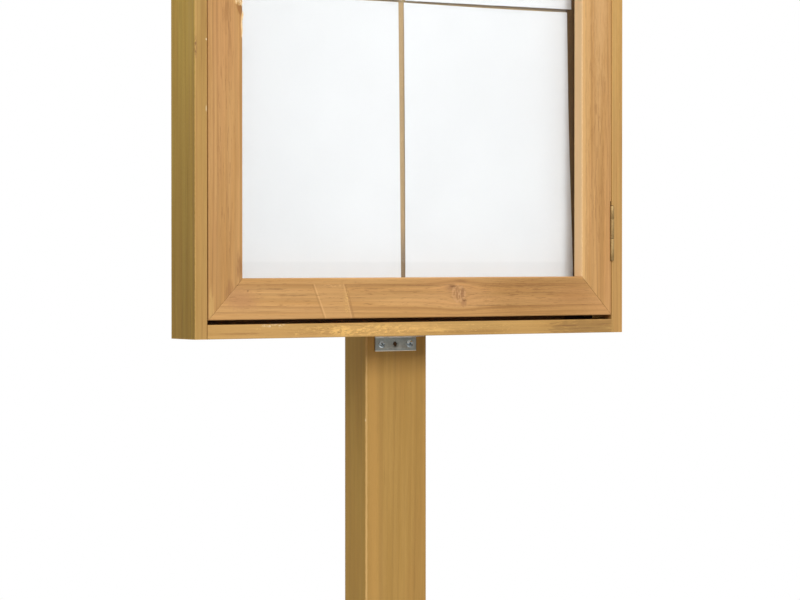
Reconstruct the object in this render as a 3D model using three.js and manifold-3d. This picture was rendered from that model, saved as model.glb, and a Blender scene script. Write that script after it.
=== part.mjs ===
// A lockable wooden notice board: a shallow glazed wall case on the front of one post.
// Millimetres, +Z up, the front faces -Y, and the origin is the middle of the post's foot.
import * as THREE from "three";
import { mergeVertices } from "three/addons/utils/BufferGeometryUtils.js";
import Module from "manifold-3d";

// Post
const POST_WIDTH = 75;
const POST_DEPTH = 40;
const POST_ARRIS = 1.6;
const POST_TOP_DROP = 10;

// Case, whose middle stands a little left of the post's; the sheets set its width and height
const CASE_FOOT_HEIGHT = 1110;
const CASE_SHIFT_LEFT = 4;
const CASE_DEPTH = 47;
const BOARD_THICKNESS = 14;
const BOARD_ARRIS = 0.9;
const PANEL_THICKNESS = 12;
const PANEL_LAP = 5;

// Corner dowels of the case
const DOWEL_RADIUS = 3;
const DOWEL_LENGTH = 30;
const DOWEL_IN_SIDE = 10;
const DOWEL_TIP_BEVEL = 0.8;
const DOWEL_FRONT_SETBACK = 11;
const DOWEL_SPACING = 15;

// Notice sheets, which were put up a little right of the middle and low
const SHEET_COLUMNS = 2;
const SHEET_ROWS = 2;
const SHEET_WIDTH = 210;
const SHEET_HEIGHT = 297;
const SHEET_THICKNESS = 0.4;
const SHEET_COLUMN_GAP = 6;
const SHEET_ROW_GAP = 3;
const SHEET_SIDE_MARGIN = 33.5;
const SHEET_END_MARGIN = 32.5;
const SHEET_SHIFT_RIGHT = 2.6;
const SHEET_SHIFT_DOWN = 4.4;

// Door
const DOOR_THICKNESS = 20;
const STILE_WIDTH = 39;
const RAIL_WIDTH = 40.7;
const DOOR_ARRIS = 1.5;
const DOOR_BACK_ARRIS = 0.8;
const GAP_BELOW_DOOR = 4.5;
const GAP_ABOVE_DOOR = 2;
const GAP_AT_LOCK = 0.9;
const GAP_AT_HINGES = 0.5;
const REVEAL = 13.5;
const GLAZING_REBATE = 8;
const PANE_THICKNESS = 3;
const PANE_EDGE_ROOM = 1.2;
const BEAD_WIDTH = 5.6;
const BEAD_SPLAY = 2.2;

// Hinges
const HINGE_LENGTH = 57.5;
const HINGE_CENTRE_FROM_CASE_END = 104.7;
const HINGE_LEAF_DEPTH = 16;
const HINGE_LEAF_THICKNESS = 1;
const HINGE_BARREL_RADIUS = 2;
const HINGE_PIN_RADIUS = 1;
const HINGE_PIN_HEAD_RADIUS = 1.6;
const HINGE_PIN_HEAD_HEIGHT = 0.6;
const HINGE_AXIS_PROUD = 0.6;
const HINGE_KNUCKLE_GAP = 0.3;
const HINGE_PIN_PLAY = 0.15;
const HINGE_SLOT_ABOVE = 5.3;
const HINGE_SCREW_SPACING = 34;
// The three knuckles from the lowest up: case, door, case
const HINGE_KNUCKLE_SHARES = [0.4, 0.36, 0.24];

// Lock
const LOCK_BODY_RADIUS = 8;
const LOCK_BODY_FLAT = 6.9;
const LOCK_BEZEL_RADIUS = 10.5;
const LOCK_BEZEL_HEIGHT = 2.2;
const LOCK_BEZEL_BEVEL = 0.9;
const LOCK_BODY_PAST_NUT = 0.8;
const LOCK_NUT_ACROSS_FLATS = 20;
const LOCK_NUT_THICKNESS = 4;
const LOCK_NUT_SIDES = 6;
const LOCK_PLUG_RADIUS = 5.4;
const LOCK_PLUG_HEAD_RADIUS = 6.6;
const LOCK_PLUG_HEAD_HEIGHT = 1.6;
const LOCK_KEYWAY_WIDTH = 1.6;
const LOCK_KEYWAY_HEIGHT = 7.5;
const LOCK_KEYWAY_DEPTH = 7;
const CAM_THICKNESS = 1.6;
const CAM_REACH = 17.5;
const CAM_END_RADIUS = 6;
const CAM_SQUARE = 6;
const CAM_SCREW_HEAD_RADIUS = 4;
const CAM_SCREW_HEAD_HEIGHT = 1.8;
const CAM_SCREW_RADIUS = 1.6;
const CAM_SCREW_LENGTH = 9;
const KEEPER_HEIGHT = 40;
const KEEPER_THICKNESS = 1.5;
const KEEPER_REACH = 8.7;
const KEEPER_DEPTH = 10;
const KEEPER_BEND_RADIUS = 0.6;
const KEEPER_SCREW_SPACING = 26;

// Bracket under the case
const BRACKET_WIDTH = 50;
const BRACKET_LEG = 16.5;
const BRACKET_THICKNESS = 1.5;
const BRACKET_SHIFT_LEFT = 1.5;
const BRACKET_BEND_RADIUS = 1;
const BRACKET_HOLE_SPACING = 17.2;
const BRACKET_HOLE_FROM_CORNER = 9.4;

// Screws, each by head radius, head depth, dome height, shank radius and length under the head's rim
const BRACKET_POST_SCREW = { head: 3.3, sink: 1.6, dome: 1, shank: 1.75, length: 25 };
const BRACKET_BOARD_SCREW = { head: 3.3, sink: 1.6, dome: 0.6, shank: 1.75, length: 10 };
const PANEL_SCREW = { head: 4, sink: 2.2, dome: 0, shank: 2.1, length: 40 };
const HINGE_CASE_SCREW = { head: 2.6, sink: 1.3, dome: 0, shank: 1.4, length: 11.5 };
const HINGE_DOOR_SCREW = { head: 2.6, sink: 1.3, dome: 0, shank: 1.4, length: 15 };
const KEEPER_SCREW = { head: 2.6, sink: 1.3, dome: 0, shank: 1.4, length: 11.5 };
const SCREW_TIP_LENGTH = 3;
const SCREW_RIM = 0.15;
const PANEL_SCREW_SPACING = 40;
const PANEL_SCREW_FROM_CASE_END = 120;

// Clearances: between joined pieces, round what turns, round screws and dowels, and past a cut
const SEAT = 0.2;
const TURNING_ROOM = 0.3;
const BORE_ROOM = 0.15;
const OVERRUN = 1;

// Fineness of round forms
const FINE_SIDES = 32;
const ROUND_SIDES = 16;
const DOWEL_SIDES = 12;
const ARC_STEPS = 5;
const DOME_STEPS = 3;
const MERGE_DISTANCE = 1e-4;

// Planes from front to back and across, worked out once
const postFrontY = -POST_DEPTH / 2;
const caseBackY = postFrontY - SEAT;
const caseFrontY = caseBackY - CASE_DEPTH;
const doorFrontY = caseFrontY;
const doorBackY = doorFrontY + DOOR_THICKNESS;
const glazingY = doorFrontY + REVEAL;
const panelFrontY = caseBackY - PANEL_THICKNESS;
const columnsWidth = rowOf(SHEET_COLUMNS, SHEET_WIDTH, SHEET_COLUMN_GAP);
const rowsHeight = rowOf(SHEET_ROWS, SHEET_HEIGHT, SHEET_ROW_GAP);
const caseWidth = columnsWidth + 2 * (SHEET_SIDE_MARGIN + BOARD_THICKNESS);
const caseHeight = rowsHeight + 2 * (SHEET_END_MARGIN + BOARD_THICKNESS);
const caseBox = {
  x0: -caseWidth / 2 - CASE_SHIFT_LEFT,
  x1: caseWidth / 2 - CASE_SHIFT_LEFT,
  z0: CASE_FOOT_HEIGHT,
  z1: CASE_FOOT_HEIGHT + caseHeight,
};
const insideBox = inset(caseBox, BOARD_THICKNESS);
const doorBox = {
  x0: insideBox.x0 + GAP_AT_LOCK,
  x1: insideBox.x1 - GAP_AT_HINGES,
  z0: insideBox.z0 + GAP_BELOW_DOOR,
  z1: insideBox.z1 - GAP_ABOVE_DOOR,
};
const openingBox = {
  x0: doorBox.x0 + STILE_WIDTH,
  x1: doorBox.x1 - STILE_WIDTH,
  z0: doorBox.z0 + RAIL_WIDTH,
  z1: doorBox.z1 - RAIL_WIDTH,
};
const rebateBox = inset(openingBox, -GLAZING_REBATE);
const hingeX = doorBox.x1 + GAP_AT_HINGES / 2;
const hingeY = doorFrontY - HINGE_AXIS_PROUD;
const hingeCentres = {
  lower: caseBox.z0 + HINGE_CENTRE_FROM_CASE_END,
  upper: caseBox.z1 - HINGE_CENTRE_FROM_CASE_END,
};
const lockX = doorBox.x0 + STILE_WIDTH / 2;
const lockZ = (doorBox.z0 + doorBox.z1) / 2;

const wasm = await Module();
wasm.setup();

// Colours and finishes
const finishes = {
  caseWood: { color: 0xc4935c, roughness: 0.62, metalness: 0 },
  doorWood: { color: 0xca9862, roughness: 0.6, metalness: 0 },
  postWood: { color: 0xb38c4e, roughness: 0.7, metalness: 0 },
  plywood: { color: 0xc3a983, roughness: 0.75, metalness: 0 },
  dowelWood: { color: 0xd9bf94, roughness: 0.8, metalness: 0 },
  paper: { color: 0xf4f4f2, roughness: 0.9, metalness: 0 },
  pane: { color: 0xe8f1f2, roughness: 0.05, metalness: 0, transparent: true, opacity: 0.2 },
  zinc: { color: 0x9b9c98, roughness: 0.42, metalness: 1 },
  brassed: { color: 0xa88a55, roughness: 0.4, metalness: 1 },
  nickel: { color: 0xb9b7b0, roughness: 0.25, metalness: 1 },
};

function finish(name) {
  return new THREE.MeshStandardMaterial(finishes[name]);
}

// The length that a number of equal sizes take with a gap between each two
function rowOf(count, size, gap) {
  return count * size + (count - 1) * gap;
}

// A rectangle in the board's plane, drawn in by one distance on every side
function inset(box, distance) {
  return {
    x0: box.x0 + distance,
    x1: box.x1 - distance,
    z0: box.z0 + distance,
    z1: box.z1 - distance,
  };
}

// Solids: a closed geometry becomes a solid that can be cut and joined, and comes back
function toSolid(geometry) {
  const bare = geometry.clone();
  bare.deleteAttribute("normal");
  bare.deleteAttribute("uv");
  const merged = mergeVertices(bare, MERGE_DISTANCE);
  return new wasm.Manifold(
    new wasm.Mesh({
      numProp: 3,
      vertProperties: merged.attributes.position.array,
      triVerts: new Uint32Array(merged.index.array),
    }),
  );
}

function toGeometry(solid) {
  const mesh = solid.getMesh();
  const geometry = new THREE.BufferGeometry();
  geometry.setAttribute("position", new THREE.BufferAttribute(mesh.vertProperties, 3));
  geometry.setIndex(new THREE.BufferAttribute(mesh.triVerts, 1));
  const faceted = geometry.toNonIndexed();
  faceted.computeVertexNormals();
  return faceted;
}

function cut(solid, ...tools) {
  return tools.reduce((rest, tool) => rest.subtract(tool), solid);
}

function join(...solids) {
  return solids.reduce((whole, solid) => whole.add(solid));
}

function at(geometry, x, y, z) {
  return geometry.translate(x, y, z);
}

// A plain block between pairs of planes, used for pockets and flat plates
function block(x0, x1, y0, y1, z0, z1) {
  const geometry = new THREE.BoxGeometry(x1 - x0, y1 - y0, z1 - z0);
  return toSolid(at(geometry, (x0 + x1) / 2, (y0 + y1) / 2, (z0 + z1) / 2));
}

// A closed outline from corners [x, y, radius], where a radius rounds the corner by an arc
function roundedOutline(corners) {
  const shape = new THREE.Shape();
  corners.forEach(([x, y, radius = 0], i) => {
    const corner = new THREE.Vector2(x, y);
    const before = new THREE.Vector2(...corners.at(i - 1)).sub(corner).normalize();
    const after = new THREE.Vector2(...corners[(i + 1) % corners.length]).sub(corner).normalize();
    const start = corner.clone();
    if (radius > 0) {
      const half = Math.acos(before.dot(after)) / 2;
      start.addScaledVector(before, radius / Math.tan(half));
      const inward = before.clone().add(after).normalize();
      const centre = corner.clone().addScaledVector(inward, radius / Math.sin(half));
      const end = corner.clone().addScaledVector(after, radius / Math.tan(half));
      const from = start.clone().sub(centre).angle();
      const to = end.clone().sub(centre).angle();
      if (i === 0) shape.moveTo(start.x, start.y);
      else shape.lineTo(start.x, start.y);
      shape.absarc(centre.x, centre.y, radius, from, to, before.cross(after) > 0);
    } else if (i === 0) shape.moveTo(start.x, start.y);
    else shape.lineTo(start.x, start.y);
  });
  shape.closePath();
  return shape;
}

// Axes for an extrusion: the outline's two directions, then the direction it runs in
const AXIS = {
  right: new THREE.Vector3(1, 0, 0),
  left: new THREE.Vector3(-1, 0, 0),
  back: new THREE.Vector3(0, 1, 0),
  up: new THREE.Vector3(0, 0, 1),
  down: new THREE.Vector3(0, 0, -1),
};

// Extrudes an outline by a length, centred along it, with the outline's x and y along two axes
function extrusion(shape, length, across, outward, place) {
  const geometry = new THREE.ExtrudeGeometry(shape, {
    depth: length,
    bevelEnabled: false,
    curveSegments: ARC_STEPS,
  });
  at(geometry, 0, 0, -length / 2);
  const along = across.clone().cross(outward);
  geometry.applyMatrix4(new THREE.Matrix4().makeBasis(across, outward, along));
  return toSolid(at(geometry, ...place));
}

// A turned form about an axis through a point: profile points are [radius, distance along]
function turned(profile, sides, axis, place) {
  const points = profile.map(([radius, along]) => new THREE.Vector2(radius, along));
  const geometry = new THREE.LatheGeometry(points, sides);
  const turn = new THREE.Quaternion().setFromUnitVectors(AXIS.back, axis);
  geometry.applyQuaternion(turn);
  return toSolid(at(geometry, ...place));
}

function rod(radius, from, to, sides, axis, place) {
  return turned([[0, from], [radius, from], [radius, to], [0, to]], sides, axis, place);
}

// Screws: the same outline, grown by a room, makes the hole that the screw sits in
function screwProfile(screw, room) {
  const tip = screw.length + room;
  const head = screw.head + room;
  const shank = screw.shank + room;
  const dome = [];
  for (let i = 0; i < DOME_STEPS; i += 1) {
    const angle = (Math.PI / 2) * (i / DOME_STEPS);
    dome.push([head * Math.sin(angle), -screw.dome * Math.cos(angle)]);
  }
  const top = screw.dome > 0 && room === 0 ? dome : [[0, -room]];
  return [
    ...top,
    [head, -room],
    [head, SCREW_RIM],
    [shank, screw.sink + room],
    [shank, tip - SCREW_TIP_LENGTH],
    [0, tip],
  ];
}

function screwSolid(screw, place, axis) {
  return turned(screwProfile(screw, 0), ROUND_SIDES, axis, place);
}

function screwHole(screw, place, axis) {
  return turned(screwProfile(screw, BORE_ROOM), ROUND_SIDES, axis, place);
}

// The assembly: the stand holds still, the door turns on its hinges, the lock core turns in the door
const board = new THREE.Group();
const stand = new THREE.Group();
const door = new THREE.Group();
const lockCore = new THREE.Group();
door.position.set(hingeX, hingeY, 0);
lockCore.position.set(lockX - hingeX, doorFrontY - hingeY, lockZ);
board.add(stand);
board.add(door);
door.add(lockCore);
board.updateMatrixWorld(true);

// Adds a solid, given in the object's own frame, as a named piece of a group
function piece(group, name, solid, finishName) {
  const geometry = toGeometry(solid);
  geometry.applyMatrix4(group.matrixWorld.clone().invert());
  const mesh = new THREE.Mesh(geometry, finish(finishName));
  mesh.name = name;
  group.add(mesh);
}

// Where each screw of the case goes
const bracketScrews = ["left", "right"].map((side) => {
  const x = (side === "left" ? -1 : 1) * BRACKET_HOLE_SPACING - BRACKET_SHIFT_LEFT;
  return {
    side,
    post: [x, caseBackY - BRACKET_THICKNESS, caseBox.z0 - BRACKET_HOLE_FROM_CORNER],
    board: [x, caseBackY - BRACKET_HOLE_FROM_CORNER, caseBox.z0 - SEAT - BRACKET_THICKNESS],
  };
});
const panelScrews = ["lower", "upper"].flatMap((level) =>
  ["left", "right"].map((side) => ({
    name: `panel_screw_${level}_${side}`,
    place: [
      ((side === "left" ? -1 : 1) * PANEL_SCREW_SPACING) / 2,
      panelFrontY,
      level === "lower"
        ? caseBox.z0 + PANEL_SCREW_FROM_CASE_END
        : caseBox.z1 - PANEL_SCREW_FROM_CASE_END,
    ],
  })),
);

function makePost() {
  const halfWidth = POST_WIDTH / 2;
  const halfDepth = POST_DEPTH / 2;
  const outline = roundedOutline([
    [-halfWidth, -halfDepth, POST_ARRIS],
    [halfWidth, -halfDepth, POST_ARRIS],
    [halfWidth, halfDepth, POST_ARRIS],
    [-halfWidth, halfDepth, POST_ARRIS],
  ]);
  const length = caseBox.z1 - POST_TOP_DROP;
  const solid = extrusion(outline, length, AXIS.right, AXIS.back, [0, 0, length / 2]);
  const holes = [
    ...bracketScrews.map((screw) => screwHole(BRACKET_POST_SCREW, screw.post, AXIS.back)),
    ...panelScrews.map((screw) => screwHole(PANEL_SCREW, screw.place, AXIS.back)),
  ];
  piece(stand, "post", cut(solid, ...holes), "postWood");
}

// The four dowel places of the case, each with the direction from the side board inwards
const dowels = ["left", "right"].flatMap((side) =>
  ["bottom", "top"].flatMap((end) =>
    ["front", "back"].map((row) => ({
      name: `corner_dowel_${end}_${side}_${row}`,
      side,
      end,
      inward: side === "left" ? AXIS.right : AXIS.left,
      place: [
        side === "left" ? insideBox.x0 - DOWEL_IN_SIDE : insideBox.x1 + DOWEL_IN_SIDE,
        caseFrontY + DOWEL_FRONT_SETBACK + (row === "back" ? DOWEL_SPACING : 0),
        end === "bottom" ? (caseBox.z0 + insideBox.z0) / 2 : (caseBox.z1 + insideBox.z1) / 2,
      ],
    })),
  ),
);

function dowelHole(dowel) {
  const radius = DOWEL_RADIUS + BORE_ROOM;
  return rod(radius, -SEAT, DOWEL_LENGTH + SEAT, DOWEL_SIDES, dowel.inward, dowel.place);
}

function makeDowels() {
  for (const dowel of dowels) {
    const waist = DOWEL_RADIUS - DOWEL_TIP_BEVEL;
    const profile = [
      [0, 0],
      [waist, 0],
      [DOWEL_RADIUS, DOWEL_TIP_BEVEL],
      [DOWEL_RADIUS, DOWEL_LENGTH - DOWEL_TIP_BEVEL],
      [waist, DOWEL_LENGTH],
      [0, DOWEL_LENGTH],
    ];
    piece(stand, dowel.name, turned(profile, DOWEL_SIDES, dowel.inward, dowel.place), "dowelWood");
  }
}

// The pocket at the back of the case boards that takes the back panel
const panelBox = inset(insideBox, -PANEL_LAP);
const panelPocketBox = inset(panelBox, -SEAT);
const panelPocket = block(
  panelPocketBox.x0,
  panelPocketBox.x1,
  panelFrontY - SEAT,
  caseBackY + OVERRUN,
  panelPocketBox.z0,
  panelPocketBox.z1,
);

// The section of a case board: u runs from its outer face inwards, v from the front back
function boardOutline() {
  return roundedOutline([
    [0, 0, BOARD_ARRIS],
    [BOARD_THICKNESS, 0, BOARD_ARRIS],
    [BOARD_THICKNESS, CASE_DEPTH],
    [0, CASE_DEPTH, BOARD_ARRIS],
  ]);
}

function makeSideBoard(side, recesses) {
  const left = side === "left";
  const place = [left ? caseBox.x0 : caseBox.x1, caseFrontY, (caseBox.z0 + caseBox.z1) / 2];
  const across = left ? AXIS.right : AXIS.left;
  const solid = extrusion(boardOutline(), caseHeight, across, AXIS.back, place);
  const holes = dowels.filter((dowel) => dowel.side === side).map(dowelHole);
  piece(stand, `case_side_${side}`, cut(solid, panelPocket, ...holes, ...recesses), "caseWood");
}

function makeEndBoard(end, recesses) {
  const bottom = end === "bottom";
  const length = insideBox.x1 - insideBox.x0 - 2 * SEAT;
  const middleX = (caseBox.x0 + caseBox.x1) / 2;
  const place = [middleX, caseFrontY, bottom ? caseBox.z0 : caseBox.z1];
  const across = bottom ? AXIS.up : AXIS.down;
  const solid = extrusion(boardOutline(), length, across, AXIS.back, place);
  const holes = dowels.filter((dowel) => dowel.end === end).map(dowelHole);
  piece(stand, `case_${end}_board`, cut(solid, panelPocket, ...holes, ...recesses), "caseWood");
}

function makeBackPanel() {
  const solid = block(
    panelBox.x0,
    panelBox.x1,
    panelFrontY,
    caseBackY,
    panelBox.z0,
    panelBox.z1,
  );
  const holes = panelScrews.map((screw) => screwHole(PANEL_SCREW, screw.place, AXIS.back));
  piece(stand, "back_panel", cut(solid, ...holes), "plywood");
  for (const screw of panelScrews) {
    piece(stand, screw.name, screwSolid(PANEL_SCREW, screw.place, AXIS.back), "zinc");
  }
}

// The sheets, in rows from the bottom up and columns from the left, stand on the panel's front
function makeSheets() {
  const x0 = caseBox.x0 + BOARD_THICKNESS + SHEET_SIDE_MARGIN + SHEET_SHIFT_RIGHT;
  const z0 = caseBox.z0 + BOARD_THICKNESS + SHEET_END_MARGIN - SHEET_SHIFT_DOWN;
  const y1 = panelFrontY - SEAT;
  for (let row = 0; row < SHEET_ROWS; row += 1) {
    for (let column = 0; column < SHEET_COLUMNS; column += 1) {
      const left = x0 + column * (SHEET_WIDTH + SHEET_COLUMN_GAP);
      const low = z0 + row * (SHEET_HEIGHT + SHEET_ROW_GAP);
      const [right, high] = [left + SHEET_WIDTH, low + SHEET_HEIGHT];
      const sheet = block(left, right, y1 - SHEET_THICKNESS, y1, low, high);
      piece(stand, `notice_sheet_row_${row + 1}_column_${column + 1}`, sheet, "paper");
    }
  }
}

// The angle bracket, bent from strip, with three holes in each leg, of which the middle ones stay empty
function makeBracket() {
  const bend = BRACKET_BEND_RADIUS;
  const outline = roundedOutline([
    [0, 0],
    [0, -BRACKET_LEG],
    [-BRACKET_THICKNESS, -BRACKET_LEG],
    [-BRACKET_THICKNESS, -BRACKET_THICKNESS, bend],
    [-BRACKET_LEG, -BRACKET_THICKNESS],
    [-BRACKET_LEG, 0],
  ]);
  const middleX = -BRACKET_SHIFT_LEFT;
  const place = [middleX, caseBackY, caseBox.z0 - SEAT];
  const solid = extrusion(outline, BRACKET_WIDTH, AXIS.back, AXIS.up, place);
  const holes = bracketScrews.flatMap((screw) => [
    screwHole(BRACKET_POST_SCREW, screw.post, AXIS.back),
    screwHole(BRACKET_BOARD_SCREW, screw.board, AXIS.up),
  ]);
  const [first] = bracketScrews;
  holes.push(screwHole(BRACKET_POST_SCREW, [middleX, first.post[1], first.post[2]], AXIS.back));
  holes.push(screwHole(BRACKET_BOARD_SCREW, [middleX, first.board[1], first.board[2]], AXIS.up));
  piece(stand, "angle_bracket", cut(solid, ...holes), "zinc");
  for (const screw of bracketScrews) {
    const intoPost = screwSolid(BRACKET_POST_SCREW, screw.post, AXIS.back);
    const intoBoard = screwSolid(BRACKET_BOARD_SCREW, screw.board, AXIS.up);
    piece(stand, `bracket_post_screw_${screw.side}`, intoPost, "zinc");
    piece(stand, `bracket_board_screw_${screw.side}`, intoBoard, "zinc");
  }
}

// One member of a mitred frame: its section runs along the side, and its ends are cut corner to corner
function mitredMember(side, outer, inner, front, thickness, section) {
  const widths = {
    left: inner.x0 - outer.x0,
    right: outer.x1 - inner.x1,
    bottom: inner.z0 - outer.z0,
    top: outer.z1 - inner.z1,
  };
  const outward = { left: AXIS.left, right: AXIS.right, bottom: AXIS.down, top: AXIS.up }[side];
  const upright = side === "left" || side === "right";
  const middleX = (outer.x0 + outer.x1) / 2;
  const middleZ = (outer.z0 + outer.z1) / 2;
  const length = (upright ? outer.z1 - outer.z0 : outer.x1 - outer.x0) + 2 * OVERRUN;
  const place = {
    left: [inner.x0, front, middleZ],
    right: [inner.x1, front, middleZ],
    bottom: [middleX, front, inner.z0],
    top: [middleX, front, inner.z1],
  }[side];
  const run = extrusion(roundedOutline(section(widths[side])), length, outward, AXIS.back, place);
  // The trapezium between outer and inner corners, drawn back at each mitre by half a seat
  const endX = upright ? 0 : SEAT;
  const endZ = upright ? SEAT : 0;
  const corner = (box, x, z) => [
    box[x] + (x === "x0" ? endX : -endX),
    -(box[z] + (z === "z0" ? endZ : -endZ)),
  ];
  const ends = {
    left: ["x0", "z0", "x0", "z1"],
    right: ["x1", "z1", "x1", "z0"],
    bottom: ["x1", "z0", "x0", "z0"],
    top: ["x0", "z1", "x1", "z1"],
  }[side];
  const [firstX, firstZ, lastX, lastZ] = ends;
  const trapezium = roundedOutline([
    corner(outer, firstX, firstZ),
    corner(outer, lastX, lastZ),
    corner(inner, lastX, lastZ),
    corner(inner, firstX, firstZ),
  ]);
  const middleY = front + thickness / 2;
  const slab = extrusion(trapezium, thickness + 2 * OVERRUN, AXIS.right, AXIS.down, [0, middleY, 0]);
  return run.intersect(slab);
}

// The door frame's section, from the opening's edge outwards: eased in front, rebated behind
function doorSection(width) {
  return [
    [0, 0, DOOR_ARRIS],
    [width, 0, DOOR_ARRIS],
    [width, DOOR_THICKNESS, DOOR_BACK_ARRIS],
    [GLAZING_REBATE, DOOR_THICKNESS],
    [GLAZING_REBATE, REVEAL],
    [0, REVEAL],
  ];
}

// The bead's section: a strip behind the pane whose inner side falls away towards the back
function beadSection(width) {
  const thickness = DOOR_THICKNESS - REVEAL - PANE_THICKNESS - 2 * SEAT;
  return [
    [0, 0],
    [width, 0],
    [width, thickness],
    [BEAD_SPLAY, thickness],
  ];
}

function makeDoorFrame(recesses) {
  const names = {
    left: "door_stile_lock",
    right: "door_stile_hinge",
    bottom: "door_rail_bottom",
    top: "door_rail_top",
  };
  for (const [side, name] of Object.entries(names)) {
    const member = mitredMember(
      side,
      doorBox,
      openingBox,
      doorFrontY,
      DOOR_THICKNESS,
      doorSection,
    );
    piece(door, name, cut(member, ...(recesses[side] ?? [])), "doorWood");
  }
}

function makeGlazing() {
  const pane = inset(rebateBox, PANE_EDGE_ROOM);
  const front = glazingY + SEAT;
  const back = front + PANE_THICKNESS;
  piece(door, "window_pane", block(pane.x0, pane.x1, front, back, pane.z0, pane.z1), "pane");
  const outer = inset(rebateBox, SEAT);
  const inner = inset(outer, BEAD_WIDTH);
  const thickness = doorBackY - back - SEAT;
  for (const side of ["left", "right", "bottom", "top"]) {
    const bead = mitredMember(side, outer, inner, back + SEAT, thickness, beadSection);
    piece(door, `glazing_bead_${side}`, bead, "doorWood");
  }
}

// Butt hinges: the barrel is shared out in knuckles, the case leaf's at both ends of it
function hingePlan(centreZ) {
  const z0 = centreZ - HINGE_LENGTH / 2;
  const lower = z0 + HINGE_LENGTH * HINGE_KNUCKLE_SHARES[0];
  const upper = lower + HINGE_LENGTH * HINGE_KNUCKLE_SHARES[1];
  return { z0, z1: z0 + HINGE_LENGTH, lower, upper, centreZ };
}

// A round bar on the hinge's axis between two heights
function barrel(radius, z0, z1) {
  return rod(radius, z0, z1, FINE_SIDES, AXIS.up, [hingeX, hingeY, 0]);
}

// A leaf's screws, by the face it lies on: toCase is 1 for the case leaf and -1 for the door leaf
function leafScrewPlaces(plan, toCase) {
  const x = hingeX + (toCase * GAP_AT_HINGES) / 2;
  const y = hingeY + (HINGE_BARREL_RADIUS + HINGE_LEAF_DEPTH) / 2;
  return [-1, 1].map((end) => [x, y, plan.centreZ + (end * HINGE_SCREW_SPACING) / 2]);
}

function hingeLeaf(plan, toCase) {
  const half = HINGE_KNUCKLE_GAP / 2;
  const near = hingeX + (toCase * GAP_AT_HINGES) / 2;
  const far = near + toCase * HINGE_LEAF_THICKNESS;
  const [x0, x1] = toCase > 0 ? [near, far] : [far, near];
  const plate = block(x0, x1, hingeY, hingeY + HINGE_LEAF_DEPTH, plan.z0, plan.z1);
  const ends = [
    [plan.z0, plan.lower - half],
    [plan.upper + half, plan.z1],
  ];
  const middle = [[plan.lower + half, plan.upper - half]];
  const own = toCase > 0 ? ends : middle;
  const room = HINGE_BARREL_RADIUS + TURNING_ROOM;
  const others =
    toCase > 0
      ? [barrel(room, plan.lower - half, plan.upper + half)]
      : [
          barrel(room, plan.z0 - OVERRUN, plan.lower + half),
          barrel(room, plan.upper - half, plan.z1 + OVERRUN),
        ];
  const leaf = join(plate, ...own.map(([low, high]) => barrel(HINGE_BARREL_RADIUS, low, high)));
  const bore = barrel(HINGE_PIN_RADIUS + HINGE_PIN_PLAY, plan.z0 - OVERRUN, plan.z1 + OVERRUN);
  const screw = toCase > 0 ? HINGE_CASE_SCREW : HINGE_DOOR_SCREW;
  const into = toCase > 0 ? AXIS.right : AXIS.left;
  const holes = leafScrewPlaces(plan, toCase).map((place) => screwHole(screw, place, into));
  return cut(leaf, ...others, bore, ...holes);
}

// What the hinge takes out of the wood on one side of the gap, with a slot above the leaf
function hingeRecess(plan, toCase, slot) {
  const near = hingeX;
  const far = hingeX + toCase * (GAP_AT_HINGES / 2 + HINGE_LEAF_THICKNESS + SEAT);
  const [x0, x1] = toCase > 0 ? [near, far] : [far, near];
  const back = hingeY + HINGE_LEAF_DEPTH + SEAT;
  const room = HINGE_BARREL_RADIUS + TURNING_ROOM;
  const screw = toCase > 0 ? HINGE_CASE_SCREW : HINGE_DOOR_SCREW;
  const into = toCase > 0 ? AXIS.right : AXIS.left;
  return [
    block(x0, x1, hingeY, back, plan.z0 - SEAT, plan.z1 + slot),
    barrel(room, plan.z0 - SEAT, plan.z1 + slot),
    ...leafScrewPlaces(plan, toCase).map((place) => screwHole(screw, place, into)),
  ];
}

const hingePlans = Object.entries(hingeCentres).map(([level, centreZ]) => ({
  level,
  ...hingePlan(centreZ),
}));

function makeHinges() {
  for (const plan of hingePlans) {
    piece(stand, `hinge_${plan.level}_case_leaf`, hingeLeaf(plan, 1), "brassed");
    piece(door, `hinge_${plan.level}_door_leaf`, hingeLeaf(plan, -1), "brassed");
    const headBase = plan.z1 + SEAT;
    const headTop = headBase + HINGE_PIN_HEAD_HEIGHT;
    const profile = [
      [0, plan.z0],
      [HINGE_PIN_RADIUS, plan.z0],
      [HINGE_PIN_RADIUS, headBase],
      [HINGE_PIN_HEAD_RADIUS, headBase],
      [HINGE_PIN_RADIUS, headTop],
      [0, headTop],
    ];
    const pin = turned(profile, FINE_SIDES, AXIS.up, [hingeX, hingeY, 0]);
    piece(stand, `hinge_${plan.level}_pin`, pin, "brassed");
    for (const [group, toCase, leafName] of [[stand, 1, "case"], [door, -1, "door"]]) {
      leafScrewPlaces(plan, toCase).forEach((place, i) => {
        const screw = toCase > 0 ? HINGE_CASE_SCREW : HINGE_DOOR_SCREW;
        const into = toCase > 0 ? AXIS.right : AXIS.left;
        const end = i === 0 ? "low" : "high";
        const name = `hinge_${plan.level}_${leafName}_screw_${end}`;
        piece(group, name, screwSolid(screw, place, into), "brassed");
      });
    }
  }
}

// The lock, from the bezel back: all distances are along Y from the door's front
const nutFrontY = doorBackY + SEAT;
const nutBackY = nutFrontY + LOCK_NUT_THICKNESS;
const bodyBackY = nutBackY + LOCK_BODY_PAST_NUT;
const camFrontY = bodyBackY + TURNING_ROOM;
const camBackY = camFrontY + CAM_THICKNESS;
const keeperFrontY = camFrontY - 2 * TURNING_ROOM - KEEPER_THICKNESS;
const bezelFrontY = doorFrontY - SEAT - LOCK_BEZEL_HEIGHT;
const plugHeadBackY = bezelFrontY + LOCK_PLUG_HEAD_HEIGHT;

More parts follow.
